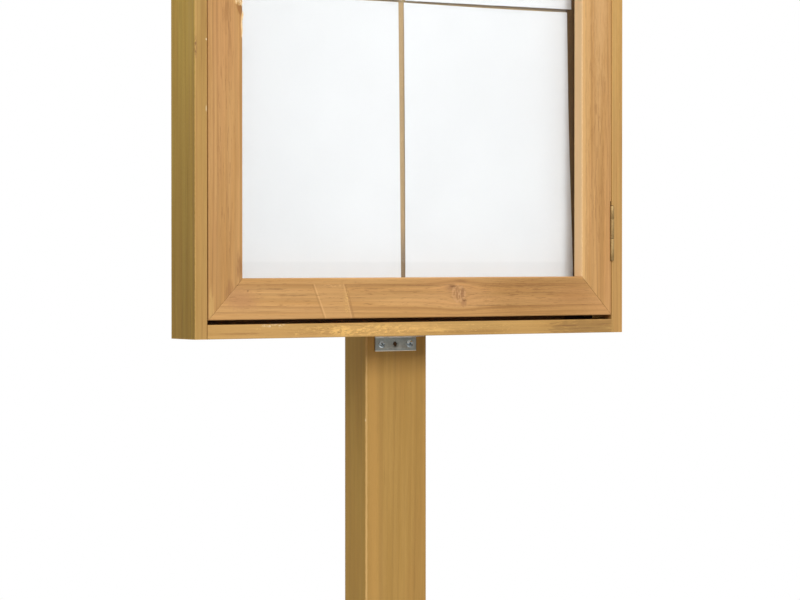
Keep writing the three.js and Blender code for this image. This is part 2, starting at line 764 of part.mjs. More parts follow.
function lockTurned(profile) {
  return turned(profile, FINE_SIDES, AXIS.back, [lockX, 0, lockZ]);
}

function makeLockBody() {
  const bore = LOCK_PLUG_RADIUS + TURNING_ROOM;
  const seatBore = LOCK_PLUG_HEAD_RADIUS + TURNING_ROOM;
  const bezelBackY = doorFrontY - SEAT;
  const profile = [
    [bore, bodyBackY],
    [bore, plugHeadBackY + TURNING_ROOM],
    [seatBore, plugHeadBackY + TURNING_ROOM],
    [seatBore, bezelFrontY],
    [LOCK_BEZEL_RADIUS - LOCK_BEZEL_BEVEL, bezelFrontY],
    [LOCK_BEZEL_RADIUS, bezelFrontY + LOCK_BEZEL_BEVEL],
    [LOCK_BEZEL_RADIUS, bezelBackY],
    [LOCK_BODY_RADIUS, bezelBackY],
    [LOCK_BODY_RADIUS, bodyBackY],
    [bore, bodyBackY],
  ];
  const flats = [-1, 1].map((side) => {
    const near = lockX + side * LOCK_BODY_FLAT;
    const far = lockX + side * (LOCK_BODY_RADIUS + OVERRUN);
    const low = lockZ - LOCK_BODY_RADIUS;
    const high = lockZ + LOCK_BODY_RADIUS;
    return block(
      Math.min(near, far),
      Math.max(near, far),
      bezelBackY,
      bodyBackY + OVERRUN,
      low,
      high,
    );
  });
  piece(door, "lock_body", cut(lockTurned(profile), ...flats), "nickel");
}

function makeLockNut() {
  const shape = new THREE.Shape();
  const halfSide = Math.PI / LOCK_NUT_SIDES;
  const corner = LOCK_NUT_ACROSS_FLATS / 2 / Math.cos(halfSide);
  for (let i = 0; i < LOCK_NUT_SIDES; i += 1) {
    const angle = halfSide * (2 * i + 1);
    const x = corner * Math.cos(angle);
    const y = corner * Math.sin(angle);
    if (i === 0) shape.moveTo(x, y);
    else shape.lineTo(x, y);
  }
  shape.closePath();
  const place = [lockX, (nutFrontY + nutBackY) / 2, lockZ];
  const nut = extrusion(shape, LOCK_NUT_THICKNESS, AXIS.right, AXIS.down, place);
  const hole = lockTurned([
    [0, doorFrontY],
    [LOCK_BODY_RADIUS + BORE_ROOM, doorFrontY],
    [LOCK_BODY_RADIUS + BORE_ROOM, camBackY],
    [0, camBackY],
  ]);
  piece(door, "lock_nut", cut(nut, hole), "nickel");
}

function makeLockCore() {
  const profile = [
    [0, bezelFrontY],
    [LOCK_PLUG_HEAD_RADIUS, bezelFrontY],
    [LOCK_PLUG_HEAD_RADIUS, plugHeadBackY],
    [LOCK_PLUG_RADIUS, plugHeadBackY],
    [LOCK_PLUG_RADIUS, bodyBackY],
    [0, bodyBackY],
  ];
  const square = CAM_SQUARE / 2;
  const spigot = block(
    lockX - square,
    lockX + square,
    bodyBackY - OVERRUN,
    camBackY - SEAT,
    lockZ - square,
    lockZ + square,
  );
  const keyway = block(
    lockX - LOCK_KEYWAY_WIDTH / 2,
    lockX + LOCK_KEYWAY_WIDTH / 2,
    bezelFrontY - OVERRUN,
    bezelFrontY + LOCK_KEYWAY_DEPTH,
    lockZ - LOCK_KEYWAY_HEIGHT / 2,
    lockZ + LOCK_KEYWAY_HEIGHT / 2,
  );
  const screwBack = camBackY + SEAT;
  const screwTip = screwBack - CAM_SCREW_LENGTH;
  const tapped = lockTurned([
    [0, screwTip - SEAT],
    [CAM_SCREW_RADIUS + BORE_ROOM, screwTip - SEAT],
    [CAM_SCREW_RADIUS + BORE_ROOM, camBackY + OVERRUN],
    [0, camBackY + OVERRUN],
  ]);
  const plug = cut(join(lockTurned(profile), spigot), keyway, tapped);
  piece(lockCore, "lock_plug", plug, "nickel");

  // The cam hangs down when the lock is open: a strip with a round end and a square hole
  const strip = new THREE.Shape();
  strip.moveTo(-CAM_END_RADIUS, 0);
  strip.absarc(0, 0, CAM_END_RADIUS, Math.PI, 0, true);
  strip.lineTo(CAM_END_RADIUS, -(CAM_REACH - CAM_END_RADIUS));
  strip.absarc(0, -(CAM_REACH - CAM_END_RADIUS), CAM_END_RADIUS, 0, -Math.PI, true);
  strip.closePath();
  const place = [lockX, (camFrontY + camBackY) / 2, lockZ];
  const blank = extrusion(strip, CAM_THICKNESS, AXIS.left, AXIS.up, place);
  const room = square + BORE_ROOM;
  const hole = block(
    lockX - room,
    lockX + room,
    camFrontY - OVERRUN,
    camBackY + OVERRUN,
    lockZ - room,
    lockZ + room,
  );
  piece(lockCore, "lock_cam", cut(blank, hole), "zinc");

  const screw = lockTurned([
    [0, screwTip],
    [CAM_SCREW_RADIUS, screwTip],
    [CAM_SCREW_RADIUS, screwBack],
    [CAM_SCREW_HEAD_RADIUS, screwBack],
    [CAM_SCREW_HEAD_RADIUS, screwBack + CAM_SCREW_HEAD_HEIGHT / 2],
    [CAM_SCREW_HEAD_RADIUS / 2, screwBack + CAM_SCREW_HEAD_HEIGHT],
    [0, screwBack + CAM_SCREW_HEAD_HEIGHT],
  ]);
  piece(lockCore, "lock_cam_screw", screw, "zinc");
}

// The keeper: an angle on the left board whose short leg stands in front of the turned cam
const keeperFace = insideBox.x0 + SEAT;
const keeperScrewPlaces = [-1, 1].map((end) => [
  keeperFace + KEEPER_THICKNESS,
  keeperFrontY + (KEEPER_THICKNESS + KEEPER_DEPTH) / 2,
  lockZ + (end * KEEPER_SCREW_SPACING) / 2,
]);

function makeKeeper() {
  const outline = roundedOutline([
    [0, 0, KEEPER_BEND_RADIUS],
    [KEEPER_REACH, 0],
    [KEEPER_REACH, KEEPER_THICKNESS],
    [KEEPER_THICKNESS, KEEPER_THICKNESS],
    [KEEPER_THICKNESS, KEEPER_DEPTH],
    [0, KEEPER_DEPTH],
  ]);
  const place = [keeperFace, keeperFrontY, lockZ];
  const solid = extrusion(outline, KEEPER_HEIGHT, AXIS.right, AXIS.back, place);
  const holes = keeperScrewPlaces.map((spot) => screwHole(KEEPER_SCREW, spot, AXIS.left));
  piece(stand, "lock_keeper", cut(solid, ...holes), "zinc");
  keeperScrewPlaces.forEach((spot, i) => {
    const name = `keeper_screw_${i === 0 ? "low" : "high"}`;
    piece(stand, name, screwSolid(KEEPER_SCREW, spot, AXIS.left), "zinc");
  });
}

function lockHole() {
  const radius = LOCK_BODY_RADIUS + BORE_ROOM;
  return lockTurned([
    [0, doorFrontY - OVERRUN],
    [radius, doorFrontY - OVERRUN],
    [radius, doorBackY + OVERRUN],
    [0, doorBackY + OVERRUN],
  ]);
}

// Put it together
makePost();
makeSideBoard(
  "left",
  keeperScrewPlaces.map((spot) => screwHole(KEEPER_SCREW, spot, AXIS.left)),
);
makeSideBoard(
  "right",
  hingePlans.flatMap((plan) => hingeRecess(plan, 1, OVERRUN)),
);
makeEndBoard(
  "bottom",
  bracketScrews.map((screw) => screwHole(BRACKET_BOARD_SCREW, screw.board, AXIS.up)),
);
makeEndBoard("top", []);
makeDowels();
makeBackPanel();
makeSheets();
makeBracket();
makeDoorFrame({
  left: [lockHole()],
  right: hingePlans.flatMap((plan) => hingeRecess(plan, -1, HINGE_SLOT_ABOVE)),
});
makeGlazing();
makeHinges();
makeLockBody();
makeLockNut();
makeLockCore();
makeKeeper();

export default board;
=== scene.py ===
import math
from contextlib import contextmanager

import bmesh
import bpy
from mathutils import Matrix, Vector


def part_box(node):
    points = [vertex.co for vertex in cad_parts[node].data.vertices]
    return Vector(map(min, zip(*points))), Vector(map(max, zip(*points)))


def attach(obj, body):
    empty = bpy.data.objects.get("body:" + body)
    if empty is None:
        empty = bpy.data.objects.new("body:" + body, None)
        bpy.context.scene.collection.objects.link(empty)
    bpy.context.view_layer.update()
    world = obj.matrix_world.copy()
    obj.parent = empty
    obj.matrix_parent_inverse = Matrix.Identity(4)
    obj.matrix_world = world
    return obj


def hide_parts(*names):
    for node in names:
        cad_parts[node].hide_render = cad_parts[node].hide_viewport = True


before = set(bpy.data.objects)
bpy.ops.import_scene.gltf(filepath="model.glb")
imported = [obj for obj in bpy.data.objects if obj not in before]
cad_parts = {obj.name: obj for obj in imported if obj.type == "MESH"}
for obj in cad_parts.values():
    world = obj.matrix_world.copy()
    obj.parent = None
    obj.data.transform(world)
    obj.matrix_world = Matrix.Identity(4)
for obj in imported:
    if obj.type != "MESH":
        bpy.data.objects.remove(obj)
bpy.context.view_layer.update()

MM = 0.001
TO_BACK = Vector((0, 1, 0))
TO_RIGHT = Vector((1, 0, 0))
UP = Vector((0, 0, 1))

# Places that the frame gives
CASE_LEFT, CASE_FRONT, CASE_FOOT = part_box("case_side_left")[0]
CASE_MIDDLE_DEPTH = (CASE_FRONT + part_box("case_side_left")[1].y) / 2
POST_LOW, POST_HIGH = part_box("post")
STILE_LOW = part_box("door_stile_lock")[0]
HINGE_STILE_LOW, HINGE_STILE_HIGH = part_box("door_stile_hinge")

# The camera looks from the left of the front, from a little above the case's foot
IMAGE_WIDTH = 800
SENSOR_WIDTH = 36
FOCAL_PIXELS = 3069.8
CASE_EDGE_PIXEL = 194.92
CAMERA_TURN = math.radians(33.555)
CAMERA_PITCH = math.radians(-0.880)
CAMERA_DISTANCE = 2.9681
CAMERA_ABOVE_FOOT = 84.09 * MM

# Light: each lamp by its azimuth to the left of the front, elevation, distance, width, height and watts
LIGHT_AIM = Vector((0, -0.05, 1.25))
LAMPS = {
    "key": (12, 32, 5.0, 3.3, 2.0, 163),
    "left fill": (80, 22, 2.6, 1.1, 1.1, 22),
    "right fill": (-40, 25, 3.5, 1.6, 1.6, 20),
}
AMBIENT_ABOVE, AMBIENT_ASIDE, AMBIENT_BELOW = 0.5, 0.19, 0.08
# Shiny surfaces see the white studio down to just below eye level, and a dimmer floor line under it
MIRRORED_BELOW = 0.12
MIRROR_LINE = math.sin(math.radians(-0.17))

# Floor
FLOOR_RADIUS = 3.2
FLOOR_FADE = 1.1


def mm(x, y, z):
    """A place or a half size given in millimetres."""
    return Vector((x * MM, y * MM, z * MM))


def srgb(red, green, blue):
    """A colour given as 0 to 255 screen values, as the linear colour that shaders take."""
    def linear(value):
        share = value / 255
        return share / 12.92 if share <= 0.04045 else ((share + 0.055) / 1.055) ** 2.4
    return (linear(red), linear(green), linear(blue), 1)


# Shader trees


class Nodes:
    """Adds shader nodes to one tree and links them as they are added."""

    def __init__(self, tree):
        self.tree = tree

    def fill(self, node, inputs):
        for name, value in inputs.items():
            if isinstance(value, bpy.types.NodeSocket):
                self.tree.links.new(value, node.inputs[name])
            else:
                node.inputs[name].default_value = value

    def add(self, kind, inputs=None, **settings):
        node = self.tree.nodes.new("ShaderNode" + kind)
        for name, value in settings.items():
            setattr(node, name, value)
        self.fill(node, inputs or {})
        return node

    def math(self, operation, first, second=0.0, clamp=False):
        node = self.add("Math", {0: first, 1: second}, operation=operation, use_clamp=clamp)
        return node.outputs[0]

    def times(self, first, second):
        return self.math("MULTIPLY", first, second)

    def plus(self, first, second):
        return self.math("ADD", first, second)

    def minus(self, first, second):
        return self.math("SUBTRACT", first, second)

    def vector(self, operation, first, second=(0, 0, 0)):
        node = self.add("VectorMath", {0: first, 1: second}, operation=operation)
        return node.outputs["Value" if operation in ("LENGTH", "DOT_PRODUCT") else "Vector"]

    def parts(self, vector):
        return self.add("SeparateXYZ", {0: vector}).outputs

    def joined(self, x, y, z):
        return self.add("CombineXYZ", {0: x, 1: y, 2: z}).outputs[0]

    def step(self, value, low, high, to_low=0.0, to_high=1.0):
        """A smooth rise from one value to another as the input goes from low to high."""
        inputs = {"Value": value, "From Min": low, "From Max": high, "To Min": to_low, "To Max": to_high}
        return self.add("MapRange", inputs, interpolation_type="SMOOTHSTEP").outputs["Result"]

    def noise(self, vector, scale, detail, roughness, seed=0.0, squeeze=None, output="Fac"):
        """Noise in a space that can be squeezed along its axes."""
        if squeeze is not None:
            vector = self.vector("MULTIPLY", vector, squeeze)
        inputs = {"Vector": vector, "W": seed, "Scale": scale, "Detail": detail, "Roughness": roughness}
        return self.add("TexNoise", inputs, noise_dimensions="4D").outputs[output]

    def mix(self, factor, first, second, blend="MIX"):
        inputs = {0: factor, 6: first, 7: second}
        return self.add("Mix", inputs, data_type="RGBA", blend_type=blend).outputs[2]

    def shaded(self, colour, shade):
        """A colour made lighter or darker by a number."""
        grey = self.add("CombineColor", {0: shade, 1: shade, 2: shade}).outputs[0]
        return self.mix(1.0, colour, grey, "MULTIPLY")

    def to_faces(self, place, low, high):
        """How far a point of a box is from the nearer face of each pair, as three parts."""
        below = self.vector("SUBTRACT", place, low)
        above = self.vector("SUBTRACT", high, place)
        return self.parts(self.vector("MINIMUM", below, above))

    def rim(self, place, low, high, near, far, amount=1.0):
        """The edges of a flat piece, seen from its front: an amount at them, 0 past a distance."""
        parts = self.to_faces(place, low, high)
        return self.step(self.math("MINIMUM", parts[0], parts[2]), near, far, amount, 0)

    def group(self, group, inputs):
        node = self.tree.nodes.new("ShaderNodeGroup")
        node.node_tree = group
        self.fill(node, inputs)
        return node.outputs


# The sockets of a group that gives a whole surface
LOOK = {"Color": "Color", "Roughness": "Float", "Height": "Float"}


def new_group(name, inputs, outputs):
    """A shader node group: (the group, its nodes, its inputs, a way to end it).

    A socket is given by its kind, or as a number that is a plain value's default."""
    group = bpy.data.node_groups.new(name, "ShaderNodeTree")
    for label, kind in inputs.items():
        plain = not isinstance(kind, str)
        socket_type = "NodeSocket" + ("Float" if plain else kind)
        socket = group.interface.new_socket(label, in_out="INPUT", socket_type=socket_type)
        if plain:
            socket.default_value = kind
    for label, kind in outputs.items():
        group.interface.new_socket(label, in_out="OUTPUT", socket_type="NodeSocket" + kind)
    nodes = Nodes(group)
    start = group.nodes.new("NodeGroupInput").outputs
    end = group.nodes.new("NodeGroupOutput")
    return group, nodes, start, lambda results: nodes.fill(end, results)


def softwood_group():
    """Colour, roughness and height of planed softwood. Z runs along the grain, measured from the pith."""
    inputs = {"Vector": "Vector", "Dark": "Color", "Middle": "Color", "Light": "Color", "Warm": "Color",
              "Ring Width": 4 * MM, "Ring Strength": 0.4, "Seed": 0.0}
    group, nodes, start, finish = new_group("softwood", inputs, LOOK)
    place, seed = start["Vector"], start["Seed"]
    drift = nodes.noise(place, 9, 2, 0.5, seed, (1, 1, 0.12), "Color")
    drift = nodes.vector("SUBTRACT", drift, (0.5, 0.5, 0.5))
    bent = nodes.vector("ADD", place, nodes.vector("MULTIPLY", drift, (0.02, 0.02, 0)))
    ripple = nodes.noise(bent, 160, 2, 0.5, seed, (1, 1, 0.1))
    radius = nodes.vector("LENGTH", nodes.vector("MULTIPLY", bent, (1, 1, 0)))
    radius = nodes.plus(radius, nodes.times(ripple, 1.1 * MM))
    phase = nodes.math("DIVIDE", radius, start["Ring Width"])
    year = nodes.math("FLOOR", phase)
    ring = nodes.add("TexWhiteNoise", {"W": year}, noise_dimensions="1D").outputs["Value"]
    within = nodes.math("FRACT", phase)
    late = nodes.times(nodes.step(within, 0.35, 0.9), nodes.step(within, 0.93, 1, 1, 0))
    late = nodes.times(late, nodes.step(ring, 0, 1, 0.2, 1))
    fibres = nodes.noise(bent, 1500, 3, 0.6, seed, (1, 1, 0.025))
    broad = nodes.noise(bent, 110, 3, 0.55, seed, (1, 1, 0.04))
    blush = nodes.noise(place, 42, 2, 0.5, seed, (1, 1, 0.16))
    hair = nodes.step(nodes.noise(bent, 620, 1, 0.4, seed, (1, 1, 0.03)), 0.62, 0.76)
    pale = nodes.step(nodes.noise(bent, 420, 2, 0.5, seed, (1, 1, 0.06)), 0.63, 0.78)
    colour = nodes.mix(nodes.step(broad, 0.34, 0.66), start["Middle"], start["Light"])
    colour = nodes.mix(nodes.step(blush, 0.45, 0.68, 0, 0.6), colour, start["Warm"])
    colour = nodes.mix(nodes.times(late, start["Ring Strength"]), colour, start["Dark"])
    colour = nodes.mix(nodes.times(hair, 0.34), colour, start["Dark"])
    colour = nodes.mix(nodes.times(pale, 0.3), colour, start["Light"])
    colour = nodes.shaded(colour, nodes.step(fibres, 0.25, 0.75, 0.94, 1.05))
    height = nodes.plus(fibres, nodes.times(late, 0.5))
    finish({"Color": colour, "Roughness": nodes.step(late, 0, 1, 0.64, 0.5), "Height": height})
    return group


def edge_group():
    """How near a point of a box's surface is to the box's edges: 1 on an edge, 0 past the width."""
    inputs = {"Vector": "Vector", "Low": "Vector", "High": "Vector", "Width": 2 * MM, "Seed": 0.0}
    group, nodes, start, finish = new_group("edge nearness", inputs, {"Edge": "Float"})
    parts = nodes.to_faces(start["Vector"], start["Low"], start["High"])
    smaller = nodes.math("MINIMUM", parts[0], parts[1])
    larger = nodes.math("MAXIMUM", parts[0], parts[1])
    middle = nodes.math("MAXIMUM", smaller, nodes.math("MINIMUM", larger, parts[2]))
    broken = nodes.noise(start["Vector"], 300, 3, 0.6, start["Seed"])
    width = nodes.times(start["Width"], nodes.step(broken, 0.3, 0.7, 0.3, 1.6))
    finish({"Edge": nodes.step(middle, 0, width, 1, 0)})
    return group


def spot_group():
    """A soft oval mark: 1 at its centre, 0 past its edge, leaned along Z and frayed by noise."""
    inputs = {"Vector": "Vector", "Centre": "Vector", "Size": "Vector", "Lean": 0.0, "Softness": 0.5,
              "Fray": 0.3, "Grain": "Vector", "Seed": 0.0}
    group, nodes, start, finish = new_group("spot", inputs, {"Mask": "Float"})
    parts = nodes.parts(nodes.vector("SUBTRACT", start["Vector"], start["Centre"]))
    across = nodes.minus(parts[0], nodes.times(parts[2], start["Lean"]))
    offset = nodes.vector("DIVIDE", nodes.joined(across, parts[1], parts[2]), start["Size"])
    frayed = nodes.noise(start["Vector"], 1, 3, 0.6, start["Seed"], start["Grain"])
    wander = nodes.times(nodes.minus(frayed, 0.5), start["Fray"])
    distance = nodes.plus(nodes.vector("LENGTH", offset), nodes.times(wander, 4))
    inner = nodes.minus(1, start["Softness"])
    finish({"Mask": nodes.step(distance, inner, 1, 1, 0)})
    return group


def torn_group():
    """Small torn flecks that lie along the grain: their mask."""
    inputs = {"Vector": "Vector", "Grain": "Vector", "Amount": 0.1, "Seed": 0.0}
    group, nodes, start, finish = new_group("torn flecks", inputs, {"Mask": "Float"})
    fine = nodes.noise(start["Vector"], 1, 3, 0.62, start["Seed"], start["Grain"])
    low = nodes.minus(0.72, nodes.times(start["Amount"], 0.5))
    finish({"Mask": nodes.step(fine, low, nodes.plus(low, 0.05))})
    return group


def worn_metal_group():
    """Plated metal: cloudy patches, fine scratches and small dull spots."""
    inputs = {"Vector": "Vector", "Tone": "Color", "Dull": "Color", "Bright": "Color", "Shine": 0.4,
              "Seed": 0.0}
    group, nodes, start, finish = new_group("worn metal", inputs, LOOK)
    place, seed = start["Vector"], start["Seed"]
    clouds = nodes.noise(place, 130, 3, 0.5, seed)
    cells = nodes.add("TexVoronoi", {"Vector": place, "Scale": 420.0}).outputs["Distance"]
    scratch = nodes.step(nodes.noise(place, 2600, 2, 0.5, seed, (0.06, 1, 1)), 0.6, 0.75)
    spots = nodes.step(nodes.noise(place, 1300, 2, 0.6, seed), 0.64, 0.74)
    colour = nodes.mix(nodes.step(clouds, 0.35, 0.68), start["Tone"], start["Dull"])
    colour = nodes.mix(nodes.step(cells, 0.1, 0.6, 0.3, 0), colour, start["Bright"])
    colour = nodes.mix(nodes.times(scratch, 0.3), colour, start["Bright"])
    colour = nodes.mix(nodes.times(spots, 0.4), colour, start["Dull"])
    rough = nodes.plus(start["Shine"], nodes.step(clouds, 0.3, 0.7, -0.07, 0.1))
    rough = nodes.plus(rough, nodes.times(spots, 0.12))
    height = nodes.minus(nodes.times(clouds, 0.6), nodes.times(scratch, 0.4))
    finish({"Color": colour, "Roughness": rough, "Height": height})
    return group


softwood = softwood_group()
edge_nearness = edge_group()
spot = spot_group()
torn_flecks = torn_group()
worn_metal = worn_metal_group()


def new_material(name):
    """A material with an empty tree: (material, its nodes, object coordinates, the shader's inputs)."""
    material = bpy.data.materials.new(name)
    material.use_nodes = True
    material.node_tree.nodes.clear()
    nodes = Nodes(material.node_tree)
    shader = nodes.add("BsdfPrincipled")
    nodes.add("OutputMaterial", {"Surface": shader.outputs[0]})
    place = nodes.add("TexCoord").outputs["Object"]
    return material, nodes, place, shader


def give_surface(nodes, shader, colour, roughness, height, relief, depth, **other):
    """Sets the shader's inputs, others by name too. depth, the bump's, is in millimetres."""
    normal = nodes.add("Bump", {"Height": height, "Strength": relief, "Distance": depth * MM}).outputs[0]
    inputs = {"Base Color": colour, "Roughness": roughness, "Normal": normal}
    for name, value in other.items():
        inputs[name.replace("_", " ")] = value
    nodes.fill(shader, inputs)


# Wood. Each set of tones is dark, middle, light and warm, in 0 to 255 screen values.
CASE_TONES = (150, 104, 50), (187, 142, 77), (199, 157, 91), (195, 146, 85)
DOOR_TONES = (152, 102, 54), (192, 143, 83), (205, 157, 98), (203, 150, 95)
POST_TONES = (149, 109, 50), (171, 131, 64), (178, 138, 71), (173, 130, 65)
PLY_TONES = (144, 112, 65), (165, 134, 83), (173, 143, 92), (169, 137, 88)
TORN = 232, 186, 108
GOLD = 238, 190, 110
SPLINTER = 248, 226, 184
BRUISE = 126, 84, 50

# A piece's axes, in the order that puts the one along its grain last
ALONG_X = (2, 1, 0)
ALONG_Z = (0, 1, 2)
# How noise is squeezed for marks that lie along X, along Z, or neither way, in cells for each metre
GRAIN_X = (90, 600, 600)
GRAIN_Z = (600, 600, 90)
NO_GRAIN = (450, 450, 450)
# From the middle of a piece to the pith of its tree, across the grain
PITH_ASIDE = Vector((0.13, 0.09, 0))
PITH_FAR = Vector((-0.21, 0.16, 0))
PITH_BEHIND = Vector((-0.02, 0.12, 0))

# The half size, in millimetres, of a mark that runs past the ends of any piece
WHOLE = 3000
# The rail's knot: its place on the front in millimetres, and its radius
KNOT = 45.4, 1152.4
KNOT_RADIUS = 7.5 * MM


def on_front(x, z, front=CASE_FRONT):
    """A point of the front, given in millimetres across and up."""
    return Vector((x * MM, front, z * MM))


class Timber:
    """One piece of wood being given its colour: the figure first, then marks over it.

    dab, smear and flecks mark the front, and are given in millimetres: the mark's middle across and up,
    half its width and half its height. skin is how deep such a mark goes into the wood."""

    def __init__(self, node_name, tones, grain, seed, skin=4, front=CASE_FRONT):
        self.material, self.nodes, self.place, self.shader = new_material("wood." + node_name)
        self.node_name = node_name
        self.low, self.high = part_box(node_name)
        self.tones, self.grain, self.seed = tones, grain, seed
        self.skin, self.front = skin, front
        self.drawn_out = GRAIN_X if grain == ALONG_X else GRAIN_Z
        self.bent = self.place
        self.colour = self.height = self.roughness = None

    def figure(self, pith=PITH_ASIDE, ring_width=4, ring_strength=0.4):
        """The wood's figure, with the width of its year rings in millimetres."""
        nodes = self.nodes
        axes = nodes.parts(nodes.vector("SUBTRACT", self.bent, (self.low + self.high) / 2))
        along = nodes.vector("SUBTRACT", nodes.joined(*(axes[i] for i in self.grain)), pith)
        dark, middle, light, warm = (srgb(*tone) for tone in self.tones)
        inputs = {"Vector": along, "Dark": dark, "Middle": middle, "Light": light, "Warm": warm,
                  "Ring Width": ring_width * MM, "Ring Strength": ring_strength, "Seed": self.seed}
        look = nodes.group(softwood, inputs)
        self.colour, self.roughness, self.height = look["Color"], look["Roughness"], look["Height"]

    def mask(self, centre, size, lean=0.0, soft=0.6, fray=0.3, grain=NO_GRAIN):
        inputs = {"Vector": self.place, "Centre": centre, "Size": size, "Lean": lean,
                  "Softness": soft, "Fray": fray, "Grain": grain, "Seed": self.seed}
        return self.nodes.group(spot, inputs)["Mask"]

    def tint(self, mask, tone, strength=1.0, blend="MIX"):
        factor = self.nodes.times(mask, strength)
        self.colour = self.nodes.mix(factor, self.colour, srgb(*tone), blend)

    def stain(self, mask, tone, strength=1.0):
        """Darkens without hiding the figure: the tone multiplies the wood's colour."""
        self.tint(mask, tone, strength, "MULTIPLY")

    def mark(self, centre, size, tone, strength, **shape):
        self.tint(self.mask(centre, size, **shape), tone, strength)

    def stained(self, centre, size, tone, **shape):
        self.stain(self.mask(centre, size, **shape), tone)

    def dab(self, x, z, width, height, tone, strength, skin=None, **shape):
        size = mm(width, skin or self.skin, height)
        self.mark(on_front(x, z, self.front), size, tone, strength, **shape)

    def smear(self, x, z, width, height, tone, strength, soft=0.9, fray=0.3, skin=None):
        """A soft dab that is drawn out along the grain."""
        shape = {"soft": soft, "fray": fray, "grain": self.drawn_out}
        self.dab(x, z, width, height, tone, strength, skin, **shape)

    def flecks(self, x, z, width, height, grain, amount, tone, strength):
        """Torn flecks on the front."""
        self.torn(on_front(x, z), mm(width, self.skin, height), grain, amount, tone, strength)

    def torn(self, centre, size, grain, amount, tone, strength):
        nodes = self.nodes
        area = self.mask(centre, size, soft=0.8, fray=0.2)
        inputs = {"Vector": self.place, "Grain": grain, "Amount": amount, "Seed": self.seed}
        flecks = nodes.times(nodes.group(torn_flecks, inputs)["Mask"], area)
        self.tint(flecks, tone, strength)
        self.height = nodes.plus(self.height, nodes.times(flecks, 1.5))

    def planed(self, centre, half_width, lean, top, tone, strength):
        """A straight-sided patch over a piece's height, leaned along Z, with a plain upper end."""
        nodes = self.nodes
        soft = 0.6 * MM
        offset = nodes.parts(nodes.vector("SUBTRACT", self.place, centre))
        across = nodes.minus(offset[0], nodes.times(offset[2], lean))
        inside = nodes.step(nodes.math("ABSOLUTE", across), half_width - soft, half_width + soft, 1, 0)
        below = nodes.step(offset[2], top - soft, top + soft, 1, 0)
        self.tint(nodes.times(inside, below), tone, strength)

    def streaks(self, across, contrast):
        """Broad and fine streaks along the grain: darker and lighter than the wood by the contrast."""
        squeeze = [2.2 if axis == self.grain[2] else across for axis in range(3)]
        broad = self.nodes.noise(self.bent, 1, 3, 0.6, self.seed + 20, squeeze)
        shade = self.nodes.step(broad, 0.3, 0.7, 1 - contrast, 1 + contrast)
        self.colour = self.nodes.shaded(self.colour, shade)

    # Tints the piece's edges: in the wood's light tone they are partly wear and partly a painted
    # highlight along the arrises
    def tinted_edges(self, width, strength, tone=None, seed=None):
        inputs = {"Vector": self.place, "Low": self.low, "High": self.high, "Width": width * MM,
                  "Seed": self.seed if seed is None else seed}
        edge = self.nodes.group(edge_nearness, inputs)["Edge"]
        self.tint(edge, tone or self.tones[2], strength)

    def knot(self, centre, radius):
        """Bends the grain round a knot: called before the figure. Gives the distance from its middle."""
        nodes = self.nodes
        offset = nodes.parts(nodes.vector("SUBTRACT", self.place, centre))
        flat = nodes.joined(nodes.times(offset[0], 0.55), 0, offset[2])
        reach = nodes.math("DIVIDE", nodes.vector("LENGTH", flat), radius)
        squared = nodes.times(reach, reach)
        pull = nodes.math("DIVIDE", -1.0, nodes.plus(squared, 0.35))
        lift = nodes.times(pull, offset[2])
        self.bent = nodes.vector("ADD", self.bent, nodes.joined(0, 0, lift))
        return nodes.vector("LENGTH", nodes.joined(offset[0], 0, offset[2]))

    def close(self):
        """Ends the material and gives it to the CAD piece."""
        give_surface(self.nodes, self.shader, self.colour, self.roughness, self.height, 0.3, 0.12,
                     Specular_IOR_Level=0.35)
        finish_node(self.node_name, self.material)


def finish_post():
    front = POST_LOW.y
    wood = Timber("post", POST_TONES, ALONG_Z, 1.0, 6, front)
    wood.figure(PITH_FAR, 5, 0.32)
    left = POST_LOW.x / MM
    middle = (POST_LOW.z + POST_HIGH.z) / 2 / MM
    wood.smear(left + 10, middle, 11, WHOLE, (192, 146, 76), 0.7, fray=0.2)
    wood.smear(left + 19, middle, 4, WHOLE, (164, 124, 64), 0.4)
    wood.stained(mm(left, 0, middle), mm(1.2, 30, WHOLE), (250, 254, 246), soft=0.4, fray=0)
    wood.streaks(90, 0.035)
    # Painted shade in the bracket's empty hole, then a torn place at the left arris, and a painted
    # highlight along that arris
    hole = Vector((-1.5 * MM, front, CASE_FOOT - 9.4 * MM))
    wood.stained(hole, mm(3, 1, 3), (120, 108, 100), soft=0.3, fray=0)
    wood.mark(on_front(-37, 1023, front + 0.8 * MM), mm(0.8, 2, 2), SPLINTER, 0.6)
    wood.smear(left + 1.2, middle, 1.6, WHOLE, (214, 172, 108), 0.7, 0.8, skin=2)
    wood.close()


def case_wood(node_name, grain, seed):
    wood = Timber(node_name, CASE_TONES, grain, seed, 3)
    wood.figure(ring_strength=0.3)
    return wood


